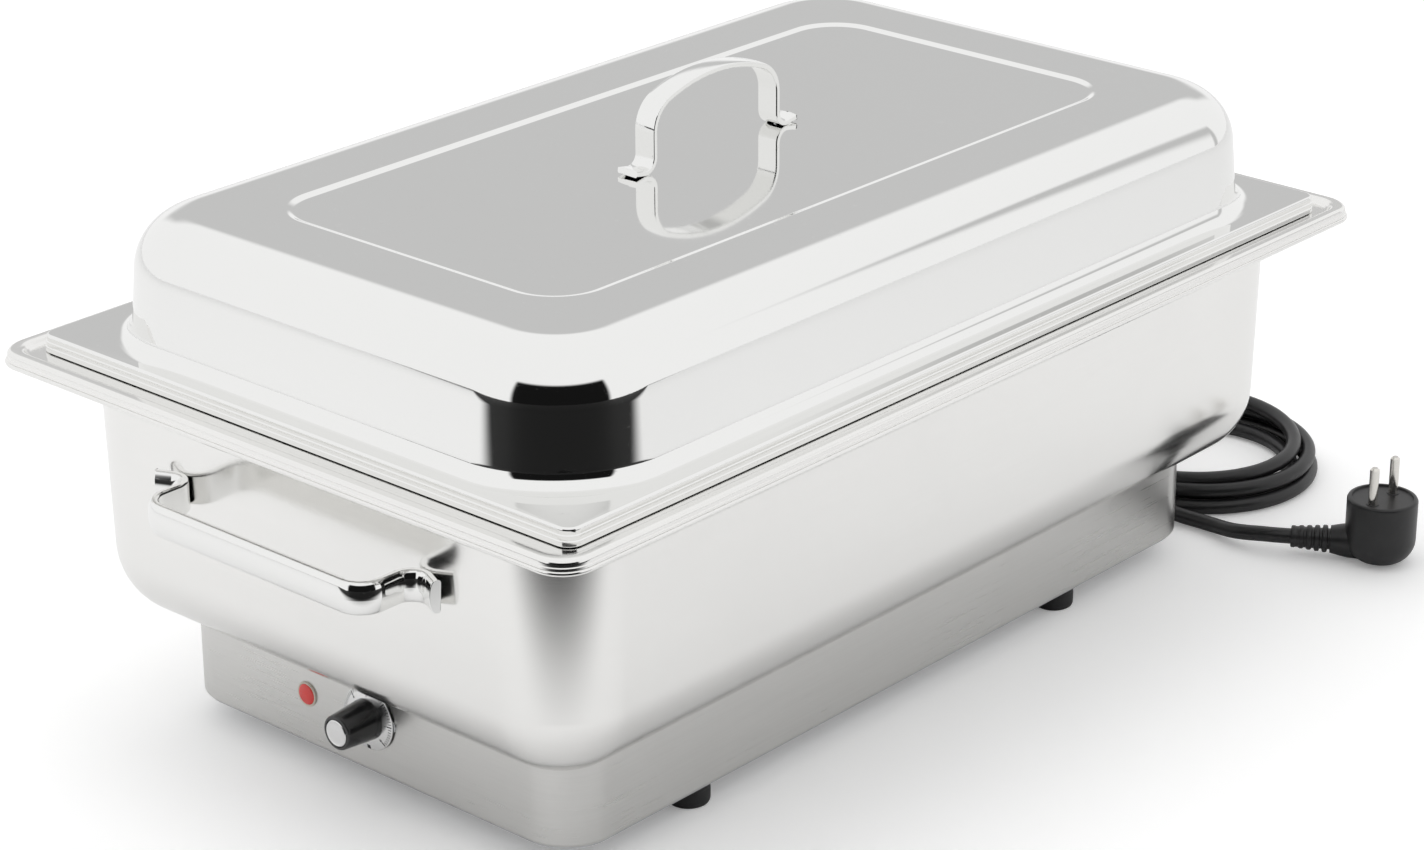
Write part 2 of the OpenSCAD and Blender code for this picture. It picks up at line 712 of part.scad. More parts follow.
module cord_coil() {
    w = coil_bundle_w;
    h = coil_bundle_h;
    corner = cord_d / 2;
    color("#1c1c1c") translate([coil_x, coil_y, 0]) rotate_extrude($fn = 96) translate([coil_r, h / 2])
        rounded_rect(w, h, corner);
}

module mains_cord_lead() {
    color("#1c1c1c") tube(lead_route, cord_d);
}

module plug_body() {
    clip_w = 6;
    color("#1c1c1c") translate([plug_x, plug_y, 0]) difference() {
        union() {
            cylinder(d1 = plug_d - 10, d2 = plug_d, h = 8);
            translate([0, 0, 8]) cylinder(d = plug_d, h = plug_h - 8);
            rotate([0, 0, 180 + neck_angle]) translate([0, 0, neck_z]) rotate([0, 90, 0]) {
                cylinder(d = 2 * neck_z - 4, h = plug_d / 2 + neck_len);
                for (i = [0:4]) translate([0, 0, plug_d / 2 + neck_len + i * relief_len / 5])
                    cylinder(d1 = relief_d - i * 0.8, d2 = relief_d - 1 - i * 0.8, h = relief_len / 5 - 1.4);
                translate([0, 0, plug_d / 2]) cylinder(d = cord_d + 2, h = neck_len + relief_len);
            }
        }
        for (x = [-1, 1]) translate([x * (plug_d / 2 - 1) - 2, -clip_w / 2, plug_h - 14]) cube([4, clip_w, 15]);
        for (y = [-1, 1]) translate([0, y * plug_pin_gap / 2, plug_h - 8]) cylinder(d = plug_pin_d, h = 10);
    }
}

module plug_pins() {
    color("silver") for (y = [-1, 1]) translate([plug_x, plug_y + y * plug_pin_gap / 2, plug_h - 8]) {
        cylinder(d = plug_pin_d, h = 8 + plug_pin_len - 1);
        translate([0, 0, 8 + plug_pin_len - 1]) cylinder(d1 = plug_pin_d, d2 = plug_pin_d - 2, h = 1);
    }
}

module plug_earth_clips() {
    color("khaki") for (x = [-1, 1])
        translate([plug_x + x * (plug_d / 2 - 2) - 0.6, plug_y - 2.5, plug_h - 14]) cube([1.2, 5, 13.5]);
}

// ---------------------------------------------------------------- handles

// Half of a bent bar seen along its width, from the middle of the grip to the tip of the foot
module end_handle_shape() {
    bend_r = 12;
    foot_r = 8;
    straight = end_handle_span / 2 - bend_r;
    arm = end_handle_reach - bar_t - bend_r - foot_r + weld_bite;
    for (m = [0, 1]) mirror([m, 0]) translate([0, -end_handle_reach + bar_t / 2])
        ribbon([0, 0, 0], [[straight, 0], [bend_r, 90], [arm, 0], [foot_r, -115], [8, 0]], bar_t);
}

module end_handle() {
    wall_y = tank_l / 2 - tan(tank_draft) * (tank_h - end_handle_z);
    translate([0, -wall_y, floor_z + end_handle_z - bar_w / 2])
        linear_extrude(bar_w) end_handle_shape();
}

module front_handle() {
    color("white") end_handle();
}

module rear_handle() {
    color("white") rotate([0, 0, 180]) end_handle();
}

module lid_handle() {
    leg_r = 16;
    top_r = 90;
    half = lid_handle_span / 2;
    sweep = asin((half - leg_r) / (top_r - leg_r));
    leg = lid_handle_h - lid_bar_t - leg_r - lid_foot_r - (top_r - leg_r) * (1 - cos(sweep));
    color("white") difference() {
        translate([lid_bar_w / 2, 0, panel_z]) rotate([90, 0, -90]) linear_extrude(lid_bar_w)
            for (m = [0, 1]) mirror([m, 0]) translate([0, lid_handle_h - lid_bar_t / 2]) ribbon(
                [0, 0, 0], [[top_r, -sweep], [leg_r, -(90 - sweep)], [leg, 0], [lid_foot_r, 100], [6, 0]], lid_bar_t
            );
        at_lid_screws() cylinder(d = screw_d, h = lid_screw_bite);
    }
}

module lid_handle_screws() {
    color("silver") at_lid_screws() translate([0, 0, -sheet_t - washer_t])
        screw(screw_d, sheet_t + washer_t + lid_screw_bite, 7, 2.4);
}

module lid_handle_washers() {
    color("silver") at_lid_screws() translate([0, 0, -sheet_t - washer_t]) difference() {
        cylinder(d = 12, h = washer_t);
        translate([0, 0, -1]) cylinder(d = screw_d + 2 * screw_gap, h = washer_t + 2);
    }
}

// ---------------------------------------------------------------- pan and lid

module food_pan() {
    mouth_w = pan_w - 2 * pan_flange_w;
    mouth_l = pan_l - 2 * pan_flange_w;
    half_x = mouth_w / 2 - pan_r;
    half_y = mouth_l / 2 - pan_r;
    color("silver") {
        around(half_x, half_y) dish_section(pan_r + sheet_t, pan_flange_z, pan_floor_z, pan_floor_r, 3, -1);
        translate([-half_x, -half_y, pan_floor_z]) cube([2 * half_x, 2 * half_y, sheet_t]);
        difference() {
            rounded_plate(pan_w, pan_l, pan_flange_r, pan_flange_z - sheet_t, sheet_t);
            rounded_plate(mouth_w + sheet_t, mouth_l + sheet_t, pan_r + sheet_t / 2, pan_flange_z - 3, 6);
        }
        difference() {
            rounded_plate(pan_w, pan_l, pan_flange_r, ledge_z, pan_edge_h);
            rounded_plate(pan_w - 2 * sheet_t, pan_l - 2 * sheet_t, pan_flange_r - sheet_t, ledge_z - 1, pan_edge_h + 3);
        }
    }
}

module lid_shell() {
    half_x = dome_w / 2 - dome_r;
    half_y = dome_l / 2 - dome_r;
    flange_top = lid_flange_z + sheet_t;
    color("whitesmoke") {
        difference() {
            union() {
                around(half_x, half_y) dish_section(dome_r, lid_flange_z, dome_top_z, dome_shoulder_r, dome_draft, 1);
                translate([-half_x, -half_y, roof_z]) cube([2 * half_x, 2 * half_y, sheet_t]);
            }
            rounded_plate(panel_w + 1, panel_l + 1, panel_r + 0.5, roof_z - 1, 4);
        }
        difference() {
            rounded_plate(panel_w + 1, panel_l + 1, panel_r + 0.5, panel_z - sheet_t, sheet_t);
            at_lid_screws() translate([0, 0, -3]) cylinder(d = screw_d + 2 * screw_gap, h = 6);
        }
        difference() {
            rounded_plate(panel_w + 2, panel_l + 2, panel_r + 1, panel_z - sheet_t, dome_top_z - panel_z + sheet_t);
            rounded_plate(panel_w, panel_l, panel_r, panel_z - 2 * sheet_t, 9);
        }
        difference() {
            rounded_plate(lid_w, lid_l, lid_r, lid_flange_z, sheet_t);
            rounded_plate(dome_w - 1, dome_l - 1, dome_r - 0.5, lid_flange_z - 2, 5);
        }
        difference() {
            rounded_plate(lid_w, lid_l, lid_r, flange_top - lid_skirt_h, lid_skirt_h);
            rounded_plate(lid_w - 2 * sheet_t, lid_l - 2 * sheet_t, lid_r - sheet_t, flange_top - lid_skirt_h - 1,
                lid_skirt_h + 3);
        }
    }
}

base_housing();
bottom_plate();
bottom_screws();
feet();
foot_screws();
foot_nuts();
water_tank();
tank_studs();
tank_nuts();
heat_plate();
heating_element();
heater_clamps();
insulation_blanket();
heat_shield();
thermostat_body();
thermostat_screws();
thermostat_bulb();
capillary();
bulb_clip();
thermal_cutout();
thermostat_shaft();
control_knob();
knob_cap();
dial_skirt();
lamp_lens();
lamp_body();
lamp_nut();
terminal_block();
terminal_screws();
earth_stud();
earth_nut();
inner_wires();
inner_cable();
cord_gland();
cord_clamp();
mains_cord_exit();
cord_coil();
mains_cord_lead();
plug_body();
plug_pins();
plug_earth_clips();
front_handle();
rear_handle();
food_pan();
lid_shell();
lid_handle();
lid_handle_screws();
lid_handle_washers();
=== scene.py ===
import json
import math

import bpy
from bpy.props import FloatProperty, FloatVectorProperty, IntProperty, PointerProperty
from bpy.types import Operator, Panel, PropertyGroup
from mathutils import Euler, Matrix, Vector


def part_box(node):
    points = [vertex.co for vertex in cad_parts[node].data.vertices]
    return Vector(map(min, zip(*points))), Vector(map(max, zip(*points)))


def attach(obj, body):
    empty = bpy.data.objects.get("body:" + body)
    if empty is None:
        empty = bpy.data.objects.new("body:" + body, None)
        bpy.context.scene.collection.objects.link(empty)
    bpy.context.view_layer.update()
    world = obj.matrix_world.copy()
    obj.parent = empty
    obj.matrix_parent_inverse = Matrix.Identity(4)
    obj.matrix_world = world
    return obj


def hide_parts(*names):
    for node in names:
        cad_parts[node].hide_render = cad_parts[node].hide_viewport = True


bl_info = {
    "name": "Electric buffet server",
    "version": (1, 0, 0),
    "blender": (4, 5, 0),
    "location": "View3D > Sidebar > Buffet",
    "description": "Builds the visible pieces and finishes of an electric buffet server around its frame",
    "category": "Object",
}

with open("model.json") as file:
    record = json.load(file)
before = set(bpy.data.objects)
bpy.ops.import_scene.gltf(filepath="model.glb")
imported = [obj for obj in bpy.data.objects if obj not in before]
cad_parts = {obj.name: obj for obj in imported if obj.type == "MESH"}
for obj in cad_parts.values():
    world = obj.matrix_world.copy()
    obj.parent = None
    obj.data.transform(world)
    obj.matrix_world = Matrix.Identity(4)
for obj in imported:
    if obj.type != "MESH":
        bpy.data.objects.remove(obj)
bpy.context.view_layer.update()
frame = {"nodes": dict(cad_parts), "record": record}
NODES = frame["nodes"]
MM = 0.001


def size_of(node):
    low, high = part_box(node)
    return [high[i] - low[i] for i in range(3)]


def length_prop(name, text, default):
    return FloatProperty(name=name, description=text, default=default, unit="LENGTH", precision=4)


def colour_prop(name, text, default):
    return FloatVectorProperty(name=name, description=text, default=default, subtype="COLOR", size=3, min=0, max=1)


# ---------------------------------------------------------------- sizes and colours


class BuffetShellSizes(PropertyGroup):
    sheet: length_prop("Sheet", "Thickness of the sheet steel", 1 * MM)
    housing_radius: length_prop("Housing radius", "Corner radius of the housing", 24 * MM)
    housing_flange: length_prop("Housing flange", "Width of the housing's in-turned edges", 14 * MM)
    tank_width: length_prop("Tank width", "Width of the tank at its mouth", 310 * MM)
    tank_length: length_prop("Tank length", "Length of the tank at its mouth", 528 * MM)
    tank_radius: length_prop("Tank radius", "Corner radius of the tank", 40 * MM)
    tank_bend: length_prop("Tank bend", "Radius between the tank's wall and floor", 36 * MM)
    rim_radius: length_prop("Rim radius", "Corner radius of the rim", 15 * MM)
    lip_width: length_prop("Lip width", "Width of the rim's raised lip", 9 * MM)
    lip_rise: length_prop("Lip rise", "Rise of the lip above the ledge", 2.7 * MM)
    bead: length_prop("Bead", "Diameter of the bead under the rim", 2.4 * MM)
    pan_flange: length_prop("Pan flange", "Width of the food pan's flange", 12 * MM)
    pan_radius: length_prop("Pan radius", "Corner radius of the food pan", 44 * MM)
    pan_bend: length_prop("Pan bend", "Radius between the pan's wall and floor", 14 * MM)


class BuffetLidSizes(PropertyGroup):
    skirt: length_prop("Skirt", "Height of the lid's skirt", 8 * MM)
    corner: length_prop("Corner", "Corner radius of the lid's flange", 7.5 * MM)
    dome_width: length_prop("Dome width", "Width of the dome at its foot", 300 * MM)
    dome_length: length_prop("Dome length", "Length of the dome at its foot", 511 * MM)
    dome_radius: length_prop("Dome radius", "Corner radius of the dome", 54 * MM)
    dome_shoulder: length_prop("Dome shoulder", "Radius between the dome's wall and top", 26 * MM)
    dome_draft: FloatProperty(
        name="Dome draft", description="Slope of the dome's wall", default=math.radians(5.2), unit="ROTATION"
    )
    foot_fillet: length_prop("Foot fillet", "Radius between the dome's wall and the flange", 8 * MM)
    panel_width: length_prop("Panel width", "Width of the recessed panel", 180 * MM)
    panel_length: length_prop("Panel length", "Length of the recessed panel", 390 * MM)
    panel_radius: length_prop("Panel radius", "Corner radius of the recessed panel", 25 * MM)
    panel_drop: length_prop("Panel drop", "Depth of the recessed panel", 1.1 * MM)


class BuffetHandleSizes(PropertyGroup):
    end_thickness: length_prop("End bar thickness", "Thickness of an end handle's bar", 5 * MM)
    end_width: length_prop("End bar width", "Width of an end handle's bar", 15 * MM)
    end_span: length_prop("End handle span", "Distance between the arms of an end handle", 138 * MM)
    end_reach: length_prop("End handle reach", "Distance an end handle stands out from the tank", 33 * MM)
    lid_thickness: length_prop("Lid bar thickness", "Thickness of the lid handle's bar", 3 * MM)
    lid_width: length_prop("Lid bar width", "Width of the lid handle's bar", 12 * MM)
    lid_span: length_prop("Lid handle span", "Distance between the legs of the lid handle", 86 * MM)
    lid_height: length_prop("Lid handle height", "Height of the lid handle", 41 * MM)


class BuffetLeadSizes(PropertyGroup):
    diameter: length_prop("Lead diameter", "Diameter of the mains lead", 8 * MM)
    coil_radius: length_prop("Coil radius", "Radius of the coil at the middle of its turns", 56 * MM)
    turns: IntProperty(name="Turns", description="Whole turns in the coil", default=4, min=1, max=8)
    plug_width: length_prop("Plug width", "Diameter of the plug's body", 36 * MM)
    plug_height: length_prop("Plug height", "Height of the plug's body", 35 * MM)


class BuffetFinishes(PropertyGroup):
    lid: colour_prop("Lid", "Mirror-polished steel of the lid and rim", (0.88, 0.88, 0.87))
    tank: colour_prop("Tank", "Polished steel of the tank", (0.88, 0.875, 0.86))
    housing: colour_prop("Housing", "Satin steel of the housing", (0.70, 0.695, 0.68))
    zinc: colour_prop("Zinc", "Plated sheet and fasteners", (0.62, 0.63, 0.64))
    black: colour_prop("Black", "Black rubber and plastic", (0.010, 0.010, 0.011))
    lens: colour_prop("Lens", "Lamp lens", (0.62, 0.018, 0.012))
    floor: colour_prop("Floor", "Floor of the studio", (0.93, 0.93, 0.93))


def sizes(name):
    return getattr(bpy.context.scene, "buffet_" + name)


# ---------------------------------------------------------------- modelling helpers


def open_piece(name):
    """An empty mesh piece at the origin, left in edit mode for its first shape."""
    bpy.ops.object.select_all(action="DESELECT")
    bpy.ops.mesh.primitive_plane_add(size=1, location=(0, 0, 0))
    piece = bpy.context.object
    piece.name = name
    piece.data.name = name
    bpy.ops.object.mode_set(mode="EDIT")
    bpy.ops.mesh.delete(type="VERT")
    return piece


def plan_ring(outline, steps, lift):
    """A rounded rectangle of edges, level, from (width, length, corner radius, height). Like every ring
    it is made at the lift, and gives the move that takes it to its place."""
    width, length, radius, height = outline
    bpy.ops.mesh.primitive_plane_add(size=1, location=(0, 0, lift))
    bpy.ops.transform.resize(value=(width, length, 1), center_override=(0, 0, lift))
    bpy.ops.mesh.bevel(offset=max(radius, 0.2 * MM), affect="VERTICES", segments=steps, profile=0.5)
    return Vector((0, 0, height - lift))


def round_ring(outline, steps, lift):
    """A circle of edges, from (radius, centre, rotation)."""
    radius, centre, rotation = outline
    start = Euler(rotation).to_matrix() @ Vector((0, 0, lift))
    bpy.ops.mesh.primitive_circle_add(vertices=steps, radius=radius, location=start, rotation=rotation)
    return Vector(centre) - start


def loft(name, rings, steps, add_ring=plan_ring, caps=(False, False)):
    """Bridges each ring of edges to the next, and closes the first or last with a face."""
    piece = open_piece(name)
    add_rings(piece, rings, steps, add_ring, caps)
    bpy.ops.object.mode_set(mode="OBJECT")
    return piece


def select_rings(piece, *numbers):
    bpy.ops.mesh.select_all(action="DESELECT")
    for number in numbers:
        piece.vertex_groups.active_index = number
        bpy.ops.object.vertex_group_select()


def add_rings(piece, rings, steps, add_ring=plan_ring, caps=(False, False)):
    """Makes the rings well apart, bridges them, and then moves each to its place: two rings in one
    plane don't bridge reliably."""
    moves = []
    for index, ring in enumerate(rings):
        bpy.ops.mesh.select_all(action="DESELECT")
        moves.append(add_ring(ring, steps, 20 * MM * index))
        bpy.ops.object.vertex_group_assign_new()
        bpy.ops.mesh.delete(type="ONLY_FACE")
        if index:
            select_rings(piece, index - 1, index)
            bpy.ops.mesh.bridge_edge_loops()
    for index, move in enumerate(moves):
        select_rings(piece, index)
        bpy.ops.transform.translate(value=move)
    for index, closed in ((0, caps[0]), (len(rings) - 1, caps[1])):
        if closed:
            select_rings(piece, index)
            bpy.ops.mesh.edge_face_add()
    bpy.ops.object.vertex_group_remove(all=True)
    bpy.ops.mesh.select_all(action="DESELECT")


def face_out(piece):
    """Points every face of a closed piece outwards."""
    bpy.ops.object.select_all(action="DESELECT")
    piece.select_set(True)
    bpy.context.view_layer.objects.active = piece
    bpy.ops.object.mode_set(mode="EDIT")
    bpy.ops.mesh.select_all(action="SELECT")
    bpy.ops.mesh.remove_doubles(threshold=0.00001)
    bpy.ops.mesh.normals_make_consistent(inside=False)
    bpy.ops.object.mode_set(mode="OBJECT")


def face_right(piece):
    """Turns an open sheet so that its face farthest to the right looks right."""
    face_out(piece)
    outermost = max(piece.data.polygons, key=lambda face: face.center.x)
    if outermost.normal.x < 0:
        bpy.ops.object.mode_set(mode="EDIT")
        bpy.ops.mesh.select_all(action="SELECT")
        bpy.ops.mesh.flip_normals()
        bpy.ops.object.mode_set(mode="OBJECT")


def select_where(piece, test):
    """In edit mode, selects the vertices whose place passes the test."""
    bpy.ops.mesh.select_all(action="DESELECT")
    bpy.ops.object.mode_set(mode="OBJECT")
    for vertex in piece.data.vertices:
        vertex.select = test(vertex.co)
    bpy.ops.object.mode_set(mode="EDIT")


def apply_modifier(piece, kind, **settings):
    bpy.ops.object.select_all(action="DESELECT")
    piece.select_set(True)
    bpy.context.view_layer.objects.active = piece
    modifier = piece.modifiers.new(kind.title(), kind)
    for key, value in settings.items():
        setattr(modifier, key, value)
    bpy.ops.object.modifier_apply(modifier=modifier.name)


def smooth(piece, angle=30):
    bpy.ops.object.select_all(action="DESELECT")
    piece.select_set(True)
    bpy.context.view_layer.objects.active = piece
    bpy.ops.object.shade_smooth_by_angle(angle=math.radians(angle))
    apply_modifier(piece, "WEIGHTED_NORMAL", keep_sharp=True, weight=80)


def thicken(piece, thickness):
    apply_modifier(piece, "SOLIDIFY", thickness=thickness, offset=-1, use_even_offset=True)


def copies(piece, places):
    """Copies of a piece modelled at the first place, each with its own mesh, joined into one piece."""
    made = [piece]
    start = Vector(places[0])
    for place in places[1:]:
        bpy.ops.object.select_all(action="DESELECT")
        piece.select_set(True)
        bpy.context.view_layer.objects.active = piece
        bpy.ops.object.duplicate(linked=False)
        twin = bpy.context.object
        twin.location = Vector(place) - start
        bpy.ops.object.transform_apply(location=True, rotation=False, scale=False)
        made.append(twin)
    return join(made)


def join(made):
    bpy.ops.object.select_all(action="DESELECT")
    for each in made:
        each.select_set(True)
    bpy.context.view_layer.objects.active = made[0]
    if len(made) > 1:
        bpy.ops.object.join()
    return made[0]


def arc(centre, radius, start, end, steps):
    """Points of an arc in a section, as (out, up), at angles in degrees from the outward direction."""
    points = []
    for i in range(steps + 1):
        a = math.radians(start + (end - start) * i / steps)
        points.append((centre[0] + radius * math.cos(a), centre[1] + radius * math.sin(a)))
    return points


def around(section, width, length, radius):
    """Rings of a section carried round an outline. A section's points are (out from the outline, up)."""
    return [
        (width + 2 * out, length + 2 * out, max(radius + out, 0.5 * MM), up)
        for out, up in section
    ]


def place(piece, material, slot, body, *nodes):
    piece.data.materials.clear()
    piece.data.materials.append(material)
    if nodes:
        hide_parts(*nodes)
    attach(piece, body)
    return piece


# ---------------------------------------------------------------- shader groups and finishes


def shader_group(name, inputs, outputs):
    """A shader node group with named sockets, made once."""
    tree = bpy.data.node_groups.new(name, "ShaderNodeTree")
    kinds = {"value": "NodeSocketFloat", "colour": "NodeSocketColor", "vector": "NodeSocketVector"}
    for socket, kind, default in inputs:
        made = tree.interface.new_socket(name=socket, in_out="INPUT", socket_type=kinds[kind])
        if default is not None:
            made.default_value = default
    for socket, kind in outputs:
        tree.interface.new_socket(name=socket, in_out="OUTPUT", socket_type=kinds[kind])
    return tree, tree.nodes.new("NodeGroupInput"), tree.nodes.new("NodeGroupOutput")


def math_node(tree, operation, first, second=None, clamp=False):
    node = tree.nodes.new("ShaderNodeMath")
    node.operation = operation
    node.use_clamp = clamp
    for index, value in enumerate((first, second)):
        if value is None:
            continue
        if isinstance(value, (int, float)):
            node.inputs[index].default_value = value
        else:
            tree.links.new(value, node.inputs[index])
    return node.outputs[0]


def noise_node(tree, vector, scale, detail=3, roughness=0.5, distortion=0):
    node = tree.nodes.new("ShaderNodeTexNoise")
    node.inputs["Detail"].default_value = detail
    node.inputs["Roughness"].default_value = roughness
    node.inputs["Distortion"].default_value = distortion
    if isinstance(scale, (int, float)):
        node.inputs["Scale"].default_value = scale
    else:
        tree.links.new(scale, node.inputs["Scale"])
    tree.links.new(vector, node.inputs["Vector"])
    return node.outputs["Fac"]


def stretched(tree, vector, scale):
    node = tree.nodes.new("ShaderNodeVectorMath")
    node.operation = "MULTIPLY"
    tree.links.new(vector, node.inputs[0])
    if isinstance(scale, tuple):
        node.inputs[1].default_value = scale
    else:
        tree.links.new(scale, node.inputs[1])
    return node.outputs[0]


def shaded(tree, colour, factor):
    """The colour times a factor."""
    node = tree.nodes.new("ShaderNodeMix")
    node.data_type = "RGBA"
    node.blend_type = "MULTIPLY"
    node.inputs["Factor"].default_value = 1
    tree.links.new(colour, node.inputs["A"])
    tree.links.new(factor, node.inputs["B"])
    return node.outputs["Result"]


def sheet_finish_group():
    """Rolled and polished sheet: grain along it, cloudy haze, fine scratches and a slow waviness."""
    tree, given, made = shader_group(
        "sheet_finish",
        [("Vector", "vector", None), ("Color", "colour", None), ("Roughness", "value", 0.2),
         ("Grain Scale", "vector", (40, 400, 400)), ("Grain", "value", 0.1), ("Haze", "value", 0.1),
         ("Scratches", "value", 0.1)],
        [("Color", "colour"), ("Roughness", "value"), ("Grain Height", "value"), ("Wave Height", "value")],
    )
    vector = given.outputs["Vector"]
    grain = noise_node(tree, stretched(tree, vector, given.outputs["Grain Scale"]), 1.0, 5, 0.65)
    haze = noise_node(tree, vector, 9.0, 4, 0.6, 0.4)
    specks = noise_node(tree, stretched(tree, vector, (160, 220, 900)), 1.0, 2, 0.4, 2.5)
    scratch = math_node(tree, "GREATER_THAN", specks, 0.715)
    grain_part = math_node(tree, "MULTIPLY", math_node(tree, "SUBTRACT", grain, 0.5), given.outputs["Grain"])
    haze_part = math_node(tree, "MULTIPLY", math_node(tree, "SUBTRACT", haze, 0.45), given.outputs["Haze"])
    scratch_part = math_node(tree, "MULTIPLY", scratch, given.outputs["Scratches"])
    rough = math_node(tree, "ADD", given.outputs["Roughness"], grain_part)
    rough = math_node(tree, "ADD", rough, haze_part)
    rough = math_node(tree, "ADD", rough, scratch_part, clamp=True)
    tint = math_node(tree, "ADD", 1.0, math_node(tree, "MULTIPLY", grain_part, 0.5))
    tint = math_node(tree, "SUBTRACT", tint, math_node(tree, "MULTIPLY", haze_part, 0.35))
    tree.links.new(shaded(tree, given.outputs["Color"], tint), made.inputs["Color"])
    tree.links.new(rough, made.inputs["Roughness"])
    tree.links.new(math_node(tree, "SUBTRACT", grain, math_node(tree, "MULTIPLY", scratch_part, 2.0)),
                   made.inputs["Grain Height"])
    tree.links.new(noise_node(tree, vector, 7.0, 1, 0.4), made.inputs["Wave Height"])
    return tree


def moulded_finish_group():
    """Moulded plastic or rubber: fine texture, worn patches and dust in a slightly lighter tone."""
    tree, given, made = shader_group(
        "moulded_finish",
        [("Vector", "vector", None), ("Color", "colour", None), ("Wear Color", "colour", None),
         ("Roughness", "value", 0.4), ("Texture Scale", "value", 900.0), ("Wear", "value", 0.2)],
        [("Color", "colour"), ("Roughness", "value"), ("Height", "value")],
    )
    vector = given.outputs["Vector"]
    texture = noise_node(tree, vector, given.outputs["Texture Scale"], 3, 0.6)
    patches = noise_node(tree, vector, 55.0, 4, 0.65, 0.6)
    worn = math_node(tree, "MULTIPLY", math_node(tree, "SUBTRACT", patches, 0.42, clamp=True), given.outputs["Wear"])
    blend = tree.nodes.new("ShaderNodeMix")
    blend.data_type = "RGBA"
    tree.links.new(math_node(tree, "MULTIPLY", worn, 2.5, clamp=True), blend.inputs["Factor"])
    tree.links.new(given.outputs["Color"], blend.inputs["A"])
    tree.links.new(given.outputs["Wear Color"], blend.inputs["B"])
    rough = math_node(tree, "ADD", given.outputs["Roughness"], worn)
    rough = math_node(tree, "ADD", rough, math_node(tree, "MULTIPLY", math_node(tree, "SUBTRACT", texture, 0.5), 0.12))
    tree.links.new(blend.outputs["Result"], made.inputs["Color"])
    tree.links.new(rough, made.inputs["Roughness"])
    tree.links.new(texture, made.inputs["Height"])
    return tree


def group_named(name):
    makers = {"sheet_finish": sheet_finish_group, "moulded_finish": moulded_finish_group}
    return bpy.data.node_groups.get(name) or makers[name]()


def start_material(name, group_name, values):
    """A material with a Principled shader fed by a finish group on Object coordinates."""
    material = bpy.data.materials.new(name)
    material.use_nodes = True
    tree = material.node_tree
    shader = tree.nodes["Principled BSDF"]
    finish = tree.nodes.new("ShaderNodeGroup")
    finish.node_tree = group_named(group_name)
    place_node = tree.nodes.new("ShaderNodeTexCoord")
    tree.links.new(place_node.outputs["Object"], finish.inputs["Vector"])
    for socket, value in values.items():
        finish.inputs[socket].default_value = (*value, 1) if socket.endswith("Color") else value
    tree.links.new(finish.outputs["Color"], shader.inputs["Base Color"])
    tree.links.new(finish.outputs["Roughness"], shader.inputs["Roughness"])
    return material, tree, shader, finish


def bumped(tree, height, distance, before=None):
    bump = tree.nodes.new("ShaderNodeBump")
    bump.inputs["Strength"].default_value = 1
    bump.inputs["Distance"].default_value = distance
    tree.links.new(height, bump.inputs["Height"])
    if before:
        tree.links.new(before, bump.inputs["Normal"])
    return bump.outputs["Normal"]


def metal(name, colour, roughness, grain_scale=(300, 300, 300), grain=0.05, haze=0.05, scratches=0.05,
          wave_mm=0.0, grain_mm=0.001):
    material, tree, shader, finish = start_material(
        name, "sheet_finish",
        {"Color": colour, "Roughness": roughness, "Grain Scale": grain_scale, "Grain": grain, "Haze": haze,
         "Scratches": scratches},
    )
    shader.inputs["Metallic"].default_value = 1
    normal = bumped(tree, finish.outputs["Grain Height"], grain_mm * MM)
    if wave_mm:
        normal = bumped(tree, finish.outputs["Wave Height"], wave_mm * MM, normal)
    tree.links.new(normal, shader.inputs["Normal"])
    return material


def moulded(name, colour, roughness, texture_scale=900.0, wear=0.2, wear_colour=(0.09, 0.088, 0.085),
            texture_mm=0.02, coat=0.0):
    material, tree, shader, finish = start_material(
        name, "moulded_finish",
        {"Color": colour, "Wear Color": wear_colour, "Roughness": roughness, "Texture Scale": texture_scale,
         "Wear": wear},
    )
    if coat:
        shader.inputs["Coat Weight"].default_value = coat
        shader.inputs["Coat Roughness"].default_value = 0.15
    tree.links.new(bumped(tree, finish.outputs["Height"], texture_mm * MM), shader.inputs["Normal"])
    return material


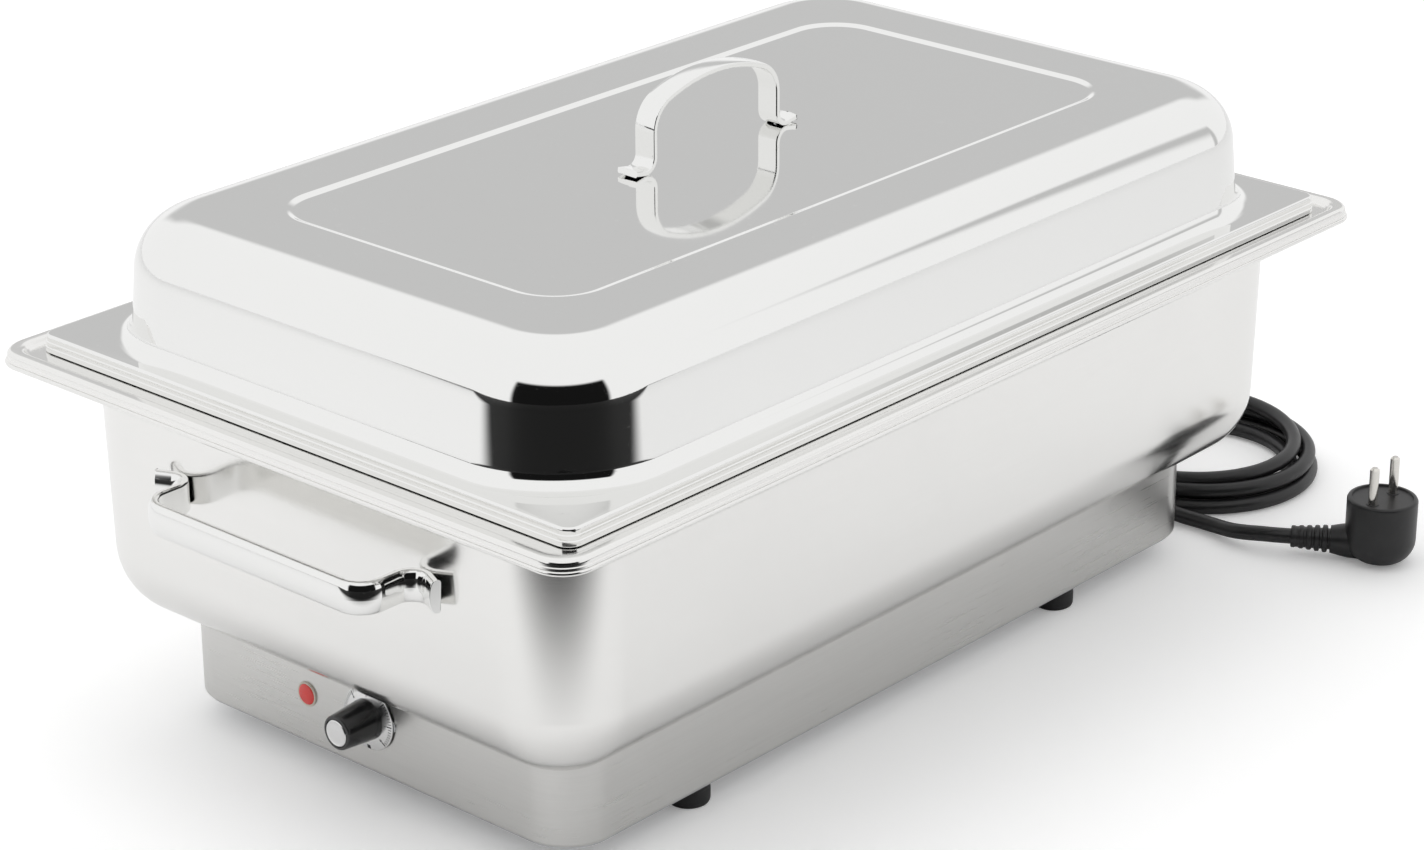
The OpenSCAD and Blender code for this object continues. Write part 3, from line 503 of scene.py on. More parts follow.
def make_finishes():
    """Every material of the object, by its slot in the record."""
    look = sizes("finishes")
    mirror, tank, housing, zinc, black = (tuple(c) for c in (look.lid, look.tank, look.housing, look.zinc, look.black))
    return {
        "lid_steel": metal("lid_steel", mirror, 0.045, (60, 60, 60), 0.012, 0.05, 0.10, 0.25, 0.0004),
        "handle_chrome": metal("handle_chrome", mirror, 0.055, (500, 500, 500), 0.02, 0.04, 0.12, 0.0, 0.0006),
        "tank_steel": metal("tank_steel", tank, 0.15, (14, 14, 700), 0.10, 0.14, 0.06, 0.25, 0.0012),
        "housing_steel": metal("housing_steel", housing, 0.30, (22, 22, 900), 0.22, 0.16, 0.05, 0.15, 0.002),
        "pan_steel": metal("pan_steel", tank, 0.24, (200, 30, 200), 0.12, 0.14, 0.10, 0.1, 0.0015),
        "zinc_sheet": metal("zinc_sheet", zinc, 0.36, (25, 500, 500), 0.18, 0.2, 0.08, 0.1, 0.002),
        "zinc_fastener": metal("zinc_fastener", zinc, 0.28, (900, 900, 900), 0.12, 0.15, 0.1, 0.0, 0.002),
        "heat_plate_aluminium": metal("heat_plate_aluminium", (0.72, 0.72, 0.73), 0.4, (30, 600, 600), 0.2, 0.2),
        "heater_sheath": metal("heater_sheath", (0.20, 0.18, 0.17), 0.45, (700, 60, 700), 0.2, 0.3, 0.1),
        "copper": metal("copper", (0.62, 0.28, 0.16), 0.3, (400, 60, 400), 0.15, 0.2, 0.1),
        "shaft_steel": metal("shaft_steel", (0.6, 0.6, 0.61), 0.25, (800, 60, 800), 0.15, 0.1, 0.1),
        "dial_aluminium": metal("dial_aluminium", (0.80, 0.80, 0.80), 0.22, (1500, 1500, 1500), 0.10, 0.08, 0.05),
        "brass": metal("brass", (0.66, 0.50, 0.24), 0.28, (900, 900, 900), 0.12, 0.15, 0.1),
        "pin_nickel": metal("pin_nickel", (0.78, 0.76, 0.72), 0.17, (900, 900, 200), 0.10, 0.1, 0.15),
        "clip_steel": metal("clip_steel", (0.74, 0.72, 0.68), 0.25, (900, 900, 200), 0.12, 0.1, 0.15),
        "foot_rubber": moulded("foot_rubber", black, 0.55, 1400.0, 0.35, (0.05, 0.048, 0.045), 0.03),
        "lead_rubber": moulded("lead_rubber", black, 0.34, 1100.0, 0.25, (0.035, 0.033, 0.032), 0.02),
        "gland_black": moulded("gland_black", black, 0.45, 1200.0, 0.3, (0.05, 0.05, 0.05), 0.03),
        "plug_rubber": moulded("plug_rubber", black, 0.33, 1500.0, 0.28, (0.05, 0.048, 0.047), 0.02),
        "knob_black": moulded("knob_black", black, 0.22, 1800.0, 0.15, (0.04, 0.04, 0.04), 0.01, 0.4),
        "bakelite": moulded("bakelite", (0.030, 0.022, 0.018), 0.4, 900.0, 0.3),
        "lamp_ivory": moulded("lamp_ivory", (0.66, 0.60, 0.52), 0.4, 900.0, 0.2, (0.45, 0.40, 0.33)),
        "terminal_white": moulded("terminal_white", (0.72, 0.70, 0.66), 0.45, 900.0, 0.25, (0.5, 0.47, 0.42)),
        "wire_insulation": moulded("wire_insulation", (0.16, 0.08, 0.04), 0.4, 900.0, 0.2, (0.2, 0.13, 0.08)),
        "glass_wool": moulded("glass_wool", (0.62, 0.55, 0.30), 0.85, 500.0, 0.7, (0.75, 0.70, 0.50), 0.5),
        "lamp_red": lamp_finish(tuple(look.lens)),
        "print_black": moulded("print_black", black, 0.5, 2500.0, 0.4, (0.10, 0.10, 0.10), 0.01),
    }


def lamp_finish(colour):
    material = moulded("lamp_red", colour, 0.16, 700.0, 0.35, (0.30, 0.01, 0.008), 0.05, 0.6)
    shader = material.node_tree.nodes["Principled BSDF"]
    shader.inputs["Emission Color"].default_value = (0.9, 0.02, 0.01, 1)
    shader.inputs["Emission Strength"].default_value = 0.12
    return material


FINISHES = {}


# ---------------------------------------------------------------- stage


CAMERA_PLACE = (1.11627, -1.24787, 0.81102)
CAMERA_TURN = (90 - 22.829, 0, 41.118)
CAMERA_LENS = 95.46
# Darker stretches of the studio seen in the polished steel: (azimuth from the front towards the
# right, half width, lowest and highest elevation, softness, depth), in degrees.
DARK_SCREENS = [
    (45, 46, -12, 34, 5, 0.992),
    (-139, 24, 12, 26, 9, 0.38),
    (148, 3, -8, 30, 4, 0.4),
]


def studio_light(world):
    """White light all round, with dark screens that the polished steel reflects."""
    world.use_nodes = True
    tree = world.node_tree
    tree.nodes.clear()
    where = tree.nodes.new("ShaderNodeTexCoord")
    parts = tree.nodes.new("ShaderNodeSeparateXYZ")
    tree.links.new(where.outputs["Generated"], parts.inputs[0])
    x, y, z = parts.outputs
    azimuth = math_node(tree, "ARCTAN2", x, math_node(tree, "MULTIPLY", y, -1.0))
    elevation = math_node(tree, "ARCSINE", z)
    level = math_node(tree, "ADD", 1.0, 0.0)
    for centre, half, low, high, soft, depth in DARK_SCREENS:
        away = math_node(tree, "SUBTRACT", azimuth, math.radians(centre))
        turn = tree.nodes.new("ShaderNodeMath")
        turn.operation = "WRAP"
        tree.links.new(away, turn.inputs[0])
        turn.inputs[1].default_value = math.pi
        turn.inputs[2].default_value = -math.pi
        side = soft_edge(tree, math_node(tree, "ABSOLUTE", turn.outputs[0]), half, soft)
        lift = math_node(tree, "ABSOLUTE", math_node(tree, "SUBTRACT", elevation, math.radians((low + high) / 2)))
        cover = math_node(tree, "MULTIPLY", side, soft_edge(tree, lift, (high - low) / 2, soft))
        level = math_node(tree, "MULTIPLY", level,
                          math_node(tree, "SUBTRACT", 1.0, math_node(tree, "MULTIPLY", cover, depth)))
    seen = tree.nodes.new("ShaderNodeLightPath")
    direct = math_node(tree, "MAXIMUM", level, seen.outputs["Is Camera Ray"])
    back = tree.nodes.new("ShaderNodeBackground")
    tree.links.new(math_node(tree, "MULTIPLY", direct, 1.2), back.inputs["Strength"])
    out = tree.nodes.new("ShaderNodeOutputWorld")
    tree.links.new(back.outputs[0], out.inputs["Surface"])


def soft_edge(tree, angle, half, soft):
    """1 inside the half angle and 0 outside it, over a soft edge, from degrees."""
    node = tree.nodes.new("ShaderNodeMapRange")
    node.interpolation_type = "SMOOTHSTEP"
    node.inputs["From Min"].default_value = math.radians(half - soft / 2)
    node.inputs["From Max"].default_value = math.radians(half + soft / 2)
    node.inputs["To Min"].default_value = 1
    node.inputs["To Max"].default_value = 0
    tree.links.new(angle, node.inputs["Value"])
    return node.outputs["Result"]


class BUFFET_OT_stage(Operator):
    """Adds the camera, the studio light and a pale floor"""

    bl_idname = "buffet.stage"
    bl_label = "Stage"

    def execute(self, context):
        scene = context.scene
        FINISHES.update(make_finishes())
        bpy.ops.object.camera_add(location=CAMERA_PLACE, rotation=[math.radians(a) for a in CAMERA_TURN])
        camera = context.object
        camera.name = "camera"
        camera.data.lens = CAMERA_LENS
        camera.data.sensor_width = 36
        camera.data.shift_x = -0.0284
        camera.data.shift_y = 0.0003
        camera.data.clip_end = 50
        scene.camera = camera
        scene.view_settings.view_transform = "Standard"
        world = bpy.data.worlds.new("studio")
        scene.world = world
        studio_light(world)
        bpy.ops.object.select_all(action="DESELECT")
        bpy.ops.mesh.primitive_plane_add(size=14, location=(0, 0, 0))
        floor = context.object
        floor.name = "floor"
        floor.data.materials.append(floor_finish(tuple(sizes("finishes").floor)))
        bpy.ops.object.light_add(type="AREA", location=(-0.5, -0.4, 2.2), rotation=(math.radians(14), 0, math.radians(-30)))
        lamp = context.object
        lamp.name = "key_light"
        lamp.data.shape = "RECTANGLE"
        lamp.data.size = 1.4
        lamp.data.size_y = 1.4
        lamp.data.energy = 9
        lamp.visible_glossy = False
        return {"FINISHED"}


def floor_finish(colour):
    """A white floor whose colour, for reflections only, fades softly to near black towards the camera: painted shade
    standing in for the dark of the studio there.
    """
    material = bpy.data.materials.new("floor")
    material.use_nodes = True
    tree = material.node_tree
    shader = tree.nodes["Principled BSDF"]
    where = tree.nodes.new("ShaderNodeTexCoord").outputs["Object"]
    cloud = noise_node(tree, where, 1.5, 2)
    ramp = tree.nodes.new("ShaderNodeMapRange")
    ramp.inputs["To Min"].default_value = 0.62
    ramp.inputs["To Max"].default_value = 0.68
    tree.links.new(cloud, ramp.inputs["Value"])
    tree.links.new(ramp.outputs["Result"], shader.inputs["Roughness"])
    toward = tree.nodes.new("ShaderNodeVectorMath")
    toward.operation = "DOT_PRODUCT"
    tree.links.new(where, toward.inputs[0])
    toward.inputs[1].default_value = (math.sin(math.radians(45)), -math.cos(math.radians(45)), 0)
    # Painted shade: for rays other than camera rays, the floor's colour fades to near black from 0.40 to 0.64 m out
    # towards the camera, so the polished steel reflects a dark studio there
    reach = tree.nodes.new("ShaderNodeMapRange")
    reach.interpolation_type = "SMOOTHSTEP"
    tree.links.new(toward.outputs["Value"], reach.inputs["Value"])
    for socket, value in (("From Min", 0.40), ("From Max", 0.64), ("To Min", 1.0), ("To Max", 0.01)):
        reach.inputs[socket].default_value = value
    seen = tree.nodes.new("ShaderNodeLightPath").outputs["Is Camera Ray"]
    level = math_node(tree, "MAXIMUM", reach.outputs["Result"], seen)
    base = tree.nodes.new("ShaderNodeRGB")
    base.outputs[0].default_value = (*colour, 1)
    tree.links.new(shaded(tree, base.outputs[0], level), shader.inputs["Base Color"])
    shader.inputs["Emission Color"].default_value = (1, 1, 1, 1)
    tree.links.new(math_node(tree, "MULTIPLY", seen, 0.2), shader.inputs["Emission Strength"])
    shader.inputs["Specular IOR Level"].default_value = 0.05
    return material


# ---------------------------------------------------------------- mains lead, plug and gland


EXIT_ROUTE = [
    (-30, 255, 33), (-30, 268, 32), (-29, 282, 30), (-25, 296, 26), (-17, 306, 21), (-7, 311, 16),
    (3, 310, 12), (12, 304, 9),
]
LEAD_ROUTE = [
    (40, 257, 20), (56, 252, 16), (72, 249.5, 11), (88, 249.5, 7), (103, 250.5, 5), (115, 252, 4.5),
    (126, 251.5, 5), (137, 249.5, 6.5), (146, 249.5, 8), (154, 251.5, 9),
]
COIL_CENTRE = (67, 316)
# Where the strand lies in the bundle: (turns from the start, radius, height), in millimetres.
COIL_STATIONS = [
    (0.0, 56.3, 8.5), (0.15, 61, 4.2), (0.55, 62, 4.2), (0.95, 60, 4.2), (1.25, 52, 4.4), (1.75, 51, 4.6),
    (2.2, 58, 12.2), (2.7, 61, 12.4), (3.1, 55, 15.5), (3.5, 52, 17.0), (3.9, 60, 20.0), (4.15, 64.5, 20.0),
]
COIL_START_ANGLE = 192.3
PLUG_PLACE = (206, 281)
PLUG_NECK_ANGLE = 31
PLUG_NECK_HEIGHT = 9.5
PLUG_NECK_REACH = 45


def between(stations, t):
    """Radius and height of the strand at a turn, eased between stations."""
    for (t0, r0, z0), (t1, r1, z1) in zip(stations, stations[1:]):
        if t <= t1:
            k = (t - t0) / (t1 - t0)
            k = k * k * (3 - 2 * k)
            return r0 + (r1 - r0) * k, z0 + (z1 - z0) * k
    return stations[-1][1:]


def lead_points():
    points = list(EXIT_ROUTE)
    steps_a_turn = 24
    last = COIL_STATIONS[-1][0]
    steps = int(last * steps_a_turn)
    for i in range(1, steps):
        t = last * i / steps
        radius, height = between(COIL_STATIONS, t)
        a = math.radians(COIL_START_ANGLE + 360 * t)
        points.append((COIL_CENTRE[0] + radius * math.cos(a), COIL_CENTRE[1] + radius * math.sin(a), height))
    points += LEAD_ROUTE
    a = math.radians(PLUG_NECK_ANGLE)
    for reach in (PLUG_NECK_REACH + 8, PLUG_NECK_REACH, PLUG_NECK_REACH - 3):
        points.append((PLUG_PLACE[0] - reach * math.cos(a), PLUG_PLACE[1] - reach * math.sin(a), PLUG_NECK_HEIGHT))
    return [Vector(p) * MM for p in points]


class BUFFET_OT_mains_lead(Operator):
    """Adds the mains lead with its coil, plug and gland"""

    bl_idname = "buffet.mains_lead"
    bl_label = "Mains lead"

    def execute(self, context):
        lead = sizes("lead")
        bpy.ops.object.select_all(action="DESELECT")
        points = lead_points()
        curve = bpy.data.curves.new("mains_lead", "CURVE")
        curve.dimensions = "3D"
        curve.bevel_depth = lead.diameter / 2
        curve.bevel_resolution = 5
        curve.resolution_u = 4
        curve.use_fill_caps = True
        spline = curve.splines.new("BEZIER")
        spline.bezier_points.add(len(points) - 1)
        for knot, point in zip(spline.bezier_points, points):
            knot.co = point
            knot.handle_left_type = knot.handle_right_type = "AUTO"
        cable = bpy.data.objects.new("mains_lead", curve)
        context.collection.objects.link(cable)
        place(cable, FINISHES["lead_rubber"], "lead_rubber", "server",
              "mains_cord_exit", "cord_coil", "mains_cord_lead")
        plug = plug_body()
        gland()
        return {"FINISHED"}


def plug_body():
    """The moulded plug: a round body with a rounded heel, a thick neck and a ribbed strain relief."""
    lead = sizes("lead")
    x, y = (v * MM for v in PLUG_PLACE)
    radius, height = lead.plug_width / 2, lead.plug_height
    section = [(5 * MM, 0)] + [
        (radius - 13 * MM + out, up) for out, up in arc((0, 13 * MM), 13 * MM, -80, 0, 8)
    ]
    section += [
        (radius, height - 10 * MM), (radius, height - 1.4 * MM), (radius - 0.5 * MM, height - 0.4 * MM),
        (radius - 1.3 * MM, height), (radius - 2.4 * MM, height), (radius - 2.8 * MM, height - 0.9 * MM),
        (2 * MM, height - 0.9 * MM),
    ]
    rings = [(r, (x, y, z), (0, 0, 0)) for r, z in section]
    body = loft("plug_body", rings, 64, round_ring, (True, True))
    face_out(body)
    smooth(body, 40)
    angle = math.radians(180 + PLUG_NECK_ANGLE)
    along = Vector((math.cos(angle), math.sin(angle), 0))
    centre = Vector((x, y, PLUG_NECK_HEIGHT * MM))
    turn = (0, math.pi / 2, angle)
    profile = [(2, 9.2), (10, 9.2), (16, 8.9), (20, 8.2), (23.5, 7.4), (25, 7.1)]
    for i in range(5):
        start, rib = 25 + 4 * i, 7.1 - 0.35 * i
        profile += [(start + 0.2, 5.4), (start + 1.2, 5.4), (start + 1.5, rib - 0.3), (start + 2.1, rib),
                    (start + 3.4, rib), (start + 3.9, rib - 0.4)]
    profile.append((PLUG_NECK_REACH, 4.3))
    rings = [(r * MM, tuple(centre + along * d * MM), turn) for d, r in profile]
    neck = loft("plug_neck", rings, 40, round_ring, (True, True))
    face_out(neck)
    smooth(neck, 40)
    sockets = []
    for side in (-1, 1):
        collar = [(3.4, -1.0), (3.4, 0.1), (3.1, 0.4), (2.5, 0.4), (2.5, -1.0)]
        rings = [
            (r * MM, (x, y + side * 9.5 * MM, height - 0.9 * MM + z * MM), (0, 0, 0)) for r, z in collar
        ]
        ring = loft("pin_collar", rings, 32, round_ring, (True, True))
        face_out(ring)
        smooth(ring, 40)
        sockets.append(ring)
    plug = join([body, neck] + sockets)
    return place(plug, FINISHES["plug_rubber"], "plug_rubber", "server", "plug_body")


def gland():
    """The bushing in the rear wall, tapered down to the lead with grooves that let it flex."""
    low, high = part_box("cord_gland")
    x, z = (low[0] + high[0]) / 2, (low[2] + high[2]) / 2
    wall = low[1] + 10 * MM
    profile = [(-10, 4.1), (-10, 8), (-0.05, 8), (0, 11), (2.2, 11), (3, 10.2), (3, 8.2)]
    for i in range(4):
        start, r = 4 + 4.8 * i, 8 - 0.75 * i
        profile += [(start, r), (start + 2.6, r - 0.2), (start + 3.0, r - 1.2), (start + 4.2, r - 1.3)]
    profile += [(23.2, 5.4), (24, 4.9), (24, 4.05)]
    rings = [(r * MM, (x, wall + d * MM, z), (math.pi / 2, 0, 0)) for d, r in profile]
    piece = loft("cord_gland", rings, 40, round_ring, (False, False))
    face_out(piece)
    smooth(piece, 35)
    place(piece, FINISHES["gland_black"], "gland_black", "server", "cord_gland")


# ---------------------------------------------------------------- housing and feet


class BUFFET_OT_housing(Operator):
    """Adds the housing with its in-turned edges, and its feet"""

    bl_idname = "buffet.housing"
    bl_label = "Housing"

    def execute(self, context):
        shell = sizes("shell")
        low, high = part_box("base_housing")
        width, length = high[0] - low[0], high[1] - low[1]
        bottom, top, edge, flange = low[2], high[2], 2 * MM, shell.housing_flange
        section = [(-flange, bottom), (-edge - MM, bottom)]
        section += arc((-edge, bottom + edge), edge, -90, 0, 6)
        section += [(0, bottom + 4 * edge), (0, top - 4 * edge)]
        section += arc((-edge, top - edge), edge, 0, 90, 6) + [(-edge - MM, top), (-flange, top)]
        wall = loft("base_housing", around(section, width, length, shell.housing_radius), 20)
        face_right(wall)
        thicken(wall, shell.sheet)
        smooth(wall, 35)
        place(wall, FINISHES["housing_steel"], "housing_steel", "server", "base_housing")
        feet()
        return {"FINISHED"}


def feet():
    """Rubber feet with a chamfered sole, a waist groove and a recess for the screw."""
    low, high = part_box("feet")
    radius = 10 * MM
    xs = (low[0] + radius, high[0] - radius)
    ys = (low[1] + radius, high[1] - radius)
    section = [(2.2, 2.2), (4.5, 2.2), (4.5, 0.6), (4.9, 0.05), (8.6, 0.0), (9.4, 0.5), (9.9, 1.6), (10, 3),
               (10, 7), (9.7, 7.5), (9.7, 8.1), (10, 8.6), (10, 10.4), (9.6, 11), (4, 11)]
    rings = [(r * MM, (xs[0], ys[0], z * MM), (0, 0, 0)) for r, z in section]
    foot = loft("feet", rings, 48, round_ring, (True, True))
    face_out(foot)
    smooth(foot, 40)
    foot = copies(foot, [(x, y, 0) for x in xs for y in ys])
    place(foot, FINISHES["foot_rubber"], "foot_rubber", "server", "feet")


# ---------------------------------------------------------------- tank and food pan


def dish(mouth_out, mouth_up, floor_up, bend, draft, steps):
    """The bend between a dish's floor and its inner side, as (out, up) from the mouth's outline, placed so that the
    side leans by the draft up to the mouth.
    """
    lean = math.tan(draft)
    foot = mouth_out - lean * (mouth_up - floor_up - bend)
    points = arc((foot - bend, floor_up + bend), bend, -90, 0, steps)
    return points


class BUFFET_OT_tank(Operator):
    """Adds the deep-drawn tank with its ledge, raised lip, down-turned edge and bead"""

    bl_idname = "buffet.tank"
    bl_label = "Water tank"

    def execute(self, context):
        shell = sizes("shell")
        sheet, bead = shell.sheet, shell.bead
        low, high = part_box("water_tank")
        floor, lip = low[2] + sheet, high[2]
        ledge = lip - shell.lip_rise
        rim_bottom = lip - 7 * MM
        rim_width = high[0] - low[0] - bead
        rim_length = high[1] - low[1] - bead
        width, length, radius = shell.tank_width - 2 * sheet, shell.tank_length - 2 * sheet, shell.tank_radius - sheet
        fillet = 3 * MM
        inner = dish(0, ledge, floor, shell.tank_bend - sheet, math.radians(1.2), 14)
        inner += [(-0.2 * MM, ledge - 9 * MM)] + [
            (fillet - fillet * math.cos(a), ledge - fillet + fillet * math.sin(a))
            for a in (math.radians(90 * i / 6) for i in range(7))
        ]
        rings = around(inner, width, length, radius)
        step = shell.lip_width
        rise = [(-step, ledge), (-step + 0.9 * MM, ledge + 0.1 * MM), (-step + 1.9 * MM, ledge + 0.9 * MM),
                (-step + 2.6 * MM, lip - 0.8 * MM), (-step + 3.4 * MM, lip - 0.15 * MM), (-step + 4.4 * MM, lip)]
        edge = 2.2 * MM
        rise += arc((-edge, lip - edge), edge, 90, 0, 6)
        rise += [(0, rim_bottom + bead + 1.4 * MM), (0.35 * MM, rim_bottom + bead + 1.0 * MM),
                 (0.35 * MM, rim_bottom + bead + 0.1 * MM), (0.1 * MM, rim_bottom + bead - 0.1 * MM)]
        rise += arc((0, rim_bottom + bead / 2), bead / 2, 50, -90, 7)
        for out, up in rise:
            corner = shell.rim_radius + out * (0.5 if out < 0 else 1)
            rings.append((rim_width + 2 * out, rim_length + 2 * out, corner, up))
        tank = loft("water_tank", rings, 24, plan_ring, (True, False))
        face_right(tank)
        thicken(tank, sheet)
        smooth(tank, 35)
        place(tank, FINISHES["tank_steel"], "tank_steel", "server", "water_tank")
        return {"FINISHED"}


class BUFFET_OT_food_pan(Operator):
    """Adds the food pan with its flange and down-turned edge"""

    bl_idname = "buffet.food_pan"
    bl_label = "Food pan"

    def execute(self, context):
        shell = sizes("shell")
        low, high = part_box("food_pan")
        width, length = high[0] - low[0], high[1] - low[1]
        sheet, flange = shell.sheet, shell.pan_flange
        floor, top = low[2] + sheet, high[2]
        fillet, edge = 3 * MM, 2 * MM
        mouth_w, mouth_l = width - 2 * flange, length - 2 * flange
        section = dish(0, top, floor, shell.pan_bend - sheet, math.radians(3), 10)
        section += [(-0.35 * MM, top - 8 * MM)] + [
            (fillet - fillet * math.cos(a), top - fillet + fillet * math.sin(a))
            for a in (math.radians(90 * i / 6) for i in range(7))
        ]
        rings = around(section, mouth_w, mouth_l, shell.pan_radius)
        outer = [(-edge - MM, top)] + arc((-edge, top - edge), edge, 90, 0, 6) + [(0, low_edge(top))]
        rings += around(outer, width, length, 8 * MM)
        pan = loft("food_pan", rings, 24, plan_ring, (True, False))
        face_right(pan)
        thicken(pan, sheet)
        smooth(pan, 35)
        place(pan, FINISHES["pan_steel"], "pan_steel", "food_pan", "food_pan")
        return {"FINISHED"}


def low_edge(flange_top):
    return flange_top - 7.4 * MM


# ---------------------------------------------------------------- lid


class BUFFET_OT_lid(Operator):
    """Adds the domed lid with its stepped skirt, flange and recessed panel"""

    bl_idname = "buffet.lid"
    bl_label = "Lid"

    def execute(self, context):
        lid = sizes("lid")
        sheet = sizes("shell").sheet
        low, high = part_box("lid_shell")
        width, length = high[0] - low[0], high[1] - low[1]
        roof = high[2]
        bottom = low[2]
        flange = bottom + lid.skirt
        edge = 1.3 * MM
        skirt = [(-0.1 * MM, bottom), (0, bottom + 0.3 * MM), (0, bottom + 2.2 * MM),
                 (-0.4 * MM, bottom + 2.6 * MM), (-0.4 * MM, bottom + 4.6 * MM),
                 (-0.8 * MM, bottom + 5.0 * MM), (-0.8 * MM, flange - edge)]
        skirt += arc((-0.8 * MM - edge, flange - edge), edge, 0, 90, 6)[1:]
        rings = around(skirt, width, length, lid.corner)
        fillet, draft, bend = lid.foot_fillet, lid.dome_draft, lid.dome_shoulder
        foot = fillet * (1 - math.sin(draft)) / math.cos(draft)
        wall = []
        for i in range(9):
            t = (math.pi / 2 - draft) * i / 8
            wall.append((foot - fillet * math.sin(t), flange + fillet * (1 - math.cos(t))))
        centre_up = roof - bend
        centre_out = -math.tan(draft) * (centre_up + bend * math.sin(draft) - flange) - bend * math.cos(draft)
        wall += arc((centre_out, centre_up), bend, math.degrees(draft), 90, 18)
        rings += around(wall, lid.dome_width, lid.dome_length, lid.dome_radius)
        step = [(2.6, 0), (1.9, 0.05), (1.1, 0.22), (0.2, 0.55), (-0.7, 0.88), (-1.5, 1.05), (-2.2, 1.1)]
        scale = lid.panel_drop / 1.1
        rings += around([(out * MM, roof - down * scale) for out, down in step],
                        lid.panel_width, lid.panel_length, lid.panel_radius)
        dome = loft("lid_shell", rings, 24, plan_ring, (False, True))
        face_right(dome)
        thicken(dome, sheet)
        smooth(dome, 35)
        place(dome, FINISHES["lid_steel"], "lid_steel", "lid", "lid_shell")
        return {"FINISHED"}


# ---------------------------------------------------------------- handles


def bar_ring(piece, thickness, width, across, crown):
    """The bar's section in the plane x = 0: flat inside, with an outer face crowned from edge to edge.
    The outer side is towards -y, or +z for a bar bent upwards."""
    deep = width / 2 * thickness / crown
    bpy.ops.mesh.primitive_plane_add(size=1, location=(0, 0, 0), rotation=(0, math.pi / 2, 0))
    size = (1, deep, width) if across == "y" else (1, width, deep)
    bpy.ops.transform.resize(value=size, center_override=(0, 0, 0))
    bpy.ops.mesh.delete(type="ONLY_FACE")

    def outer(co):
        return co.y < -0.01 * MM if across == "y" else co.z > 0.01 * MM

    select_where(piece, outer)
    bpy.ops.mesh.bevel(offset=width * 0.499, affect="VERTICES", segments=9, profile=0.5)
    bpy.ops.mesh.select_all(action="SELECT")
    flat = thickness / deep
    bpy.ops.transform.resize(value=(1, flat, 1) if across == "y" else (1, 1, flat), center_override=(0, 0, 0))
    limit = thickness / 2 - 0.01 * MM
    select_where(piece, lambda co: co.y > limit if across == "y" else co.z < -limit)
    bpy.ops.mesh.bevel(offset=0.25 * thickness, affect="VERTICES", segments=4, profile=0.5)
    bpy.ops.mesh.select_all(action="SELECT")


def bent_bar(name, path, axis, thickness, width, start):
    """Half a bent bar from the middle of its grip, then mirrored. The path's steps are
    (length, 0) for a straight run and (radius, degrees) for a bend in the plane across the axis."""
    piece = open_piece(name)
    across = "y" if axis == "z" else "z"
    bar_ring(piece, thickness, width, across, 0.5 * thickness if axis == "z" else 0.25 * thickness)
    bpy.ops.transform.translate(value=start)
    at = Vector((start[0], start[1] if axis == "z" else start[2]))
    heading = 0.0
    for value, bend in path:
        forward = Vector((math.cos(heading), math.sin(heading)))
        if bend == 0:
            move = forward * value
            run = (move.x, move.y, 0) if axis == "z" else (move.x, 0, move.y)
            bpy.ops.mesh.extrude_edges_move(TRANSFORM_OT_translate={"value": run})
            at += move
            continue
        side = 1 if bend > 0 else -1
        centre = at + Vector((-forward.y, forward.x)) * value * side
        turn = math.radians(bend)
        middle = (centre.x, centre.y, start[2]) if axis == "z" else (centre.x, start[1], centre.y)
        way = -turn if axis == "z" else turn
        bpy.ops.mesh.spin(steps=max(6, int(abs(bend) / 6)), angle=way, center=middle,
                          axis=(0, 0, 1) if axis == "z" else (0, 1, 0))
        arm = at - centre
        at = centre + Vector((arm.x * math.cos(turn) - arm.y * math.sin(turn),
                              arm.x * math.sin(turn) + arm.y * math.cos(turn)))
        heading += turn
    bpy.ops.mesh.edge_face_add()
    bpy.ops.mesh.bevel(offset=0.4 * MM, segments=3, affect="EDGES", profile=0.5, clamp_overlap=True)
    bpy.ops.object.mode_set(mode="OBJECT")
    apply_modifier(piece, "MIRROR", use_axis=(True, False, False), use_clip=True, merge_threshold=0.0001)
    face_out(piece)
    smooth(piece, 40)
    return piece


class BUFFET_OT_end_handles(Operator):
    """Adds the bent bar handles welded to the ends of the tank"""

    bl_idname = "buffet.end_handles"
    bl_label = "End handles"

    def execute(self, context):
        handle = sizes("handle")
        thick, bend, foot, tip = handle.end_thickness, 12 * MM, 8 * MM, 8 * MM
        low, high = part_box("front_handle")
        height = (low[2] + high[2]) / 2
        arm = handle.end_reach - thick - bend - foot + 0.3 * MM
        path = [(handle.end_span / 2 - bend, 0), (bend, 90), (arm, 0), (foot, -115), (tip, 0)]
        front = bent_bar("front_handle", path, "z", thick, handle.end_width, (0, low[1] + thick / 2, height))
        place(front, FINISHES["handle_chrome"], "handle_chrome", "server", "front_handle")
        bpy.ops.object.select_all(action="DESELECT")
        front.select_set(True)
        context.view_layer.objects.active = front
        bpy.ops.object.duplicate(linked=False)
        rear = context.object
        rear.name = "rear_handle"
        rear.data.name = "rear_handle"
        rear.rotation_euler = (0, 0, math.pi)
        bpy.ops.object.transform_apply(location=False, rotation=True, scale=False)
        place(rear, FINISHES["handle_chrome"], "handle_chrome", "server", "rear_handle")
        return {"FINISHED"}


